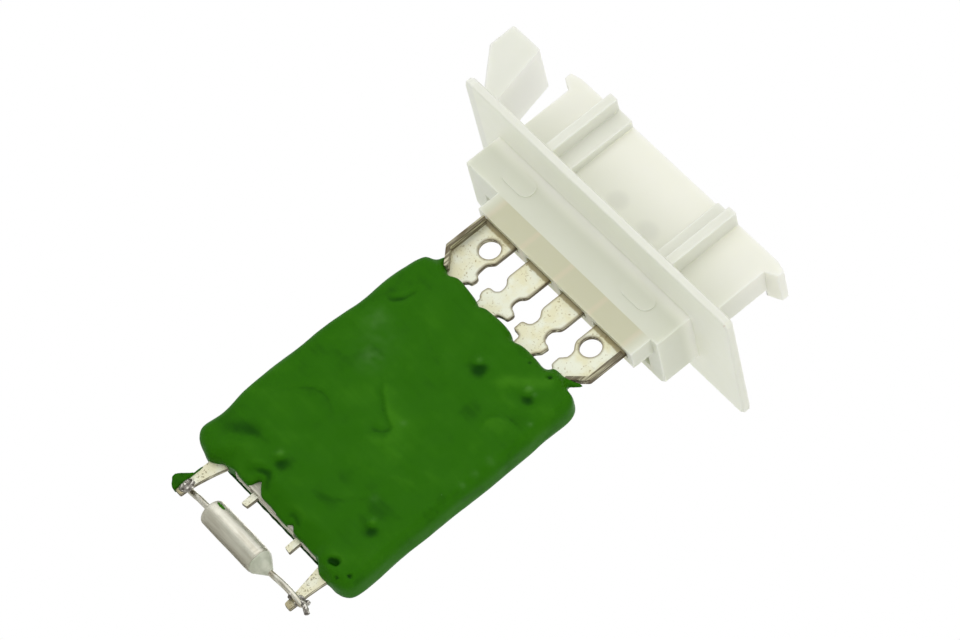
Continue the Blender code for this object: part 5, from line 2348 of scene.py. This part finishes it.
@dataclass
class Studio:
    """The floor, the soft lamps, the white room and the camera."""

    camera_place: Point3 = (310.99, -565.74, -167.86)
    camera_right: Point3 = (0.6294, 0.1487, 0.7628)
    camera_up: Point3 = (-0.6166, -0.5018, 0.6066)
    camera_back: Point3 = (0.4729, -0.8521, -0.2241)
    lens: float = 187.5
    room_light: float = 0.74
    lamps: tuple[tuple[str, Point3, float, float], ...] = (
        ("key", (-60.0, -520.0, 150.0), 560.0, 0.72),
        ("fill", (440.0, -160.0, 40.0), 320.0, 0.16),
        ("back", (-160.0, 420.0, 240.0), 420.0, 0.6),
    )
    aim: Point3 = (0.0, 0.0, -26.0)
    floor_half: float = 900.0
    floor_gap: float = 0.3
    floor_shade: Rgb = (0.94, 0.94, 0.94)
    floor_roughness: float = 0.7

    def camera(self) -> None:
        """Set the camera where the photograph was taken from."""
        data = bpy.data.cameras.new("camera")
        data.lens = self.lens
        data.sensor_width = 36.0
        data.clip_start = 0.01
        data.clip_end = 10.0
        made = link("camera", data)
        axes = Matrix((self.camera_right, self.camera_up, self.camera_back)).transposed()
        made.matrix_world = Matrix.Translation(Vector(self.camera_place) * MM) @ axes.to_4x4()
        bpy.context.scene.camera = made

    def lamp(self, name: str, place: Point3, size: float, power: float) -> None:
        """Hang one soft square lamp that looks at the part.

        Args:
            name: Its name.
            place: Where it hangs.
            size: Its side.
            power: Its power in watts.
        """
        data = bpy.data.lights.new(name, "AREA")
        data.shape = "SQUARE"
        data.size = size * MM
        data.energy = power
        made = link(name, data)
        made.location = Vector(place) * MM
        look = (Vector(self.aim) - Vector(place)).normalized()
        made.rotation_mode = "QUATERNION"
        made.rotation_quaternion = look.to_track_quat("-Z", "Y")

    def room(self) -> None:
        """Make the room white to look at and a little dimmer as light."""
        world = bpy.data.worlds.new("white_room")
        bpy.context.scene.world = world
        world.use_nodes = True
        graph = Graph(world.node_tree)
        background = world.node_tree.nodes["Background"]
        graph.feed(background.inputs["Color"], (1.0, 1.0, 1.0))
        path = graph.add("ShaderNodeLightPath").outputs
        seen = graph.sum("MAXIMUM", path["Is Camera Ray"], path["Is Glossy Ray"])
        seen = graph.sum("MAXIMUM", seen, path["Is Transmission Ray"])
        strength = graph.span(seen, 0.0, 1.0, self.room_light, 1.0)
        graph.feed(background.inputs["Strength"], strength)

    def floor(self) -> None:
        """Lay a pale floor under the part, which can be seen through from below."""
        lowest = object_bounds()[0].z / MM
        shape = bmesh.new()
        bmesh.ops.create_grid(shape, x_segments=1, y_segments=1, size=self.floor_half)
        bmesh.ops.translate(shape, verts=shape.verts, vec=(0, 0, lowest - self.floor_gap))
        floor = from_bmesh("floor", shape)
        if floor.data.polygons[0].normal.z < 0:
            floor.data.flip_normals()
        material = bpy.data.materials.new("pale_floor")
        material.use_nodes = True
        graph = Graph(material.node_tree)
        shader = material.node_tree.nodes["Principled BSDF"]
        graph.feed(shader.inputs["Base Color"], self.floor_shade)
        graph.feed(shader.inputs["Roughness"], self.floor_roughness)
        clear = graph.add("ShaderNodeBsdfTransparent").outputs[0]
        below = graph.add("ShaderNodeNewGeometry").outputs["Backfacing"]
        mixed = graph.add("ShaderNodeMixShader", {0: below, 1: shader.outputs[0], 2: clear})
        graph.feed(material.node_tree.nodes["Material Output"].inputs["Surface"], mixed.outputs[0])
        floor.data.materials.append(material)
        floor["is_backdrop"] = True

    def build(self) -> None:
        """Set up everything round the part."""
        self.camera()
        self.room()
        self.floor()
        for name, place, size, power in self.lamps:
            self.lamp(name, place, size, power)
        bpy.context.scene.view_settings.view_transform = "Standard"


def corners() -> list[list[float]]:
    """Return the lowest and highest corner of what is shown, as plain lists."""
    return [[float(value) for value in corner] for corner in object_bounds()]


def main() -> None:
    """Build the part's pieces in order and set them in the studio."""
    logging.basicConfig(level=logging.INFO, format="%(name)s: %(message)s")
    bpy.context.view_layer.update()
    shelf = EffectShelf()
    nylon = NylonFinish("milky_nylon").build(shelf)
    tin = TinFinish("tinned_strip").build(shelf)
    arm_tin = TinFinish(
        "tinned_arm",
        face=srgb(237, 238, 222),
        haze=srgb(228, 224, 194),
        fleck=srgb(116, 100, 66),
        stain_from=-62.4,
        stain_to=-65.5,
        fleck_level=0.56,
    ).build(shelf)
    green = CoatFinish("green_dip_coat").build(shelf)
    board = BoardFinish("mineral_board").build(shelf)
    alloy = DrawnMetalFinish("rolled_alloy", upright=1.0, roughness=0.35).build(shelf)
    can = DrawnMetalFinish(
        "bright_can",
        bright=srgb(214, 212, 198),
        dull=srgb(198, 194, 178),
        roughness=0.3,
        metal=0.75,
    ).build(shelf)
    tinned = DrawnMetalFinish(
        "tinned_wire", dull=srgb(168, 160, 140), spot=srgb(128, 74, 50), spot_level=0.7
    ).build(shelf)
    potting = PottingFinish("cloudy_potting").build(shelf)
    burnt = WeldFinish("burnt_weld").build(shelf)
    Mount().build(nylon)
    BladeRow().build(tin)
    CoatedCard().build(green)
    Sandwich().build(board, alloy)
    ThermalFuse().build(can, potting, tinned, arm_tin, burnt)
    Studio().build()


if __name__ == "__main__":
    main()
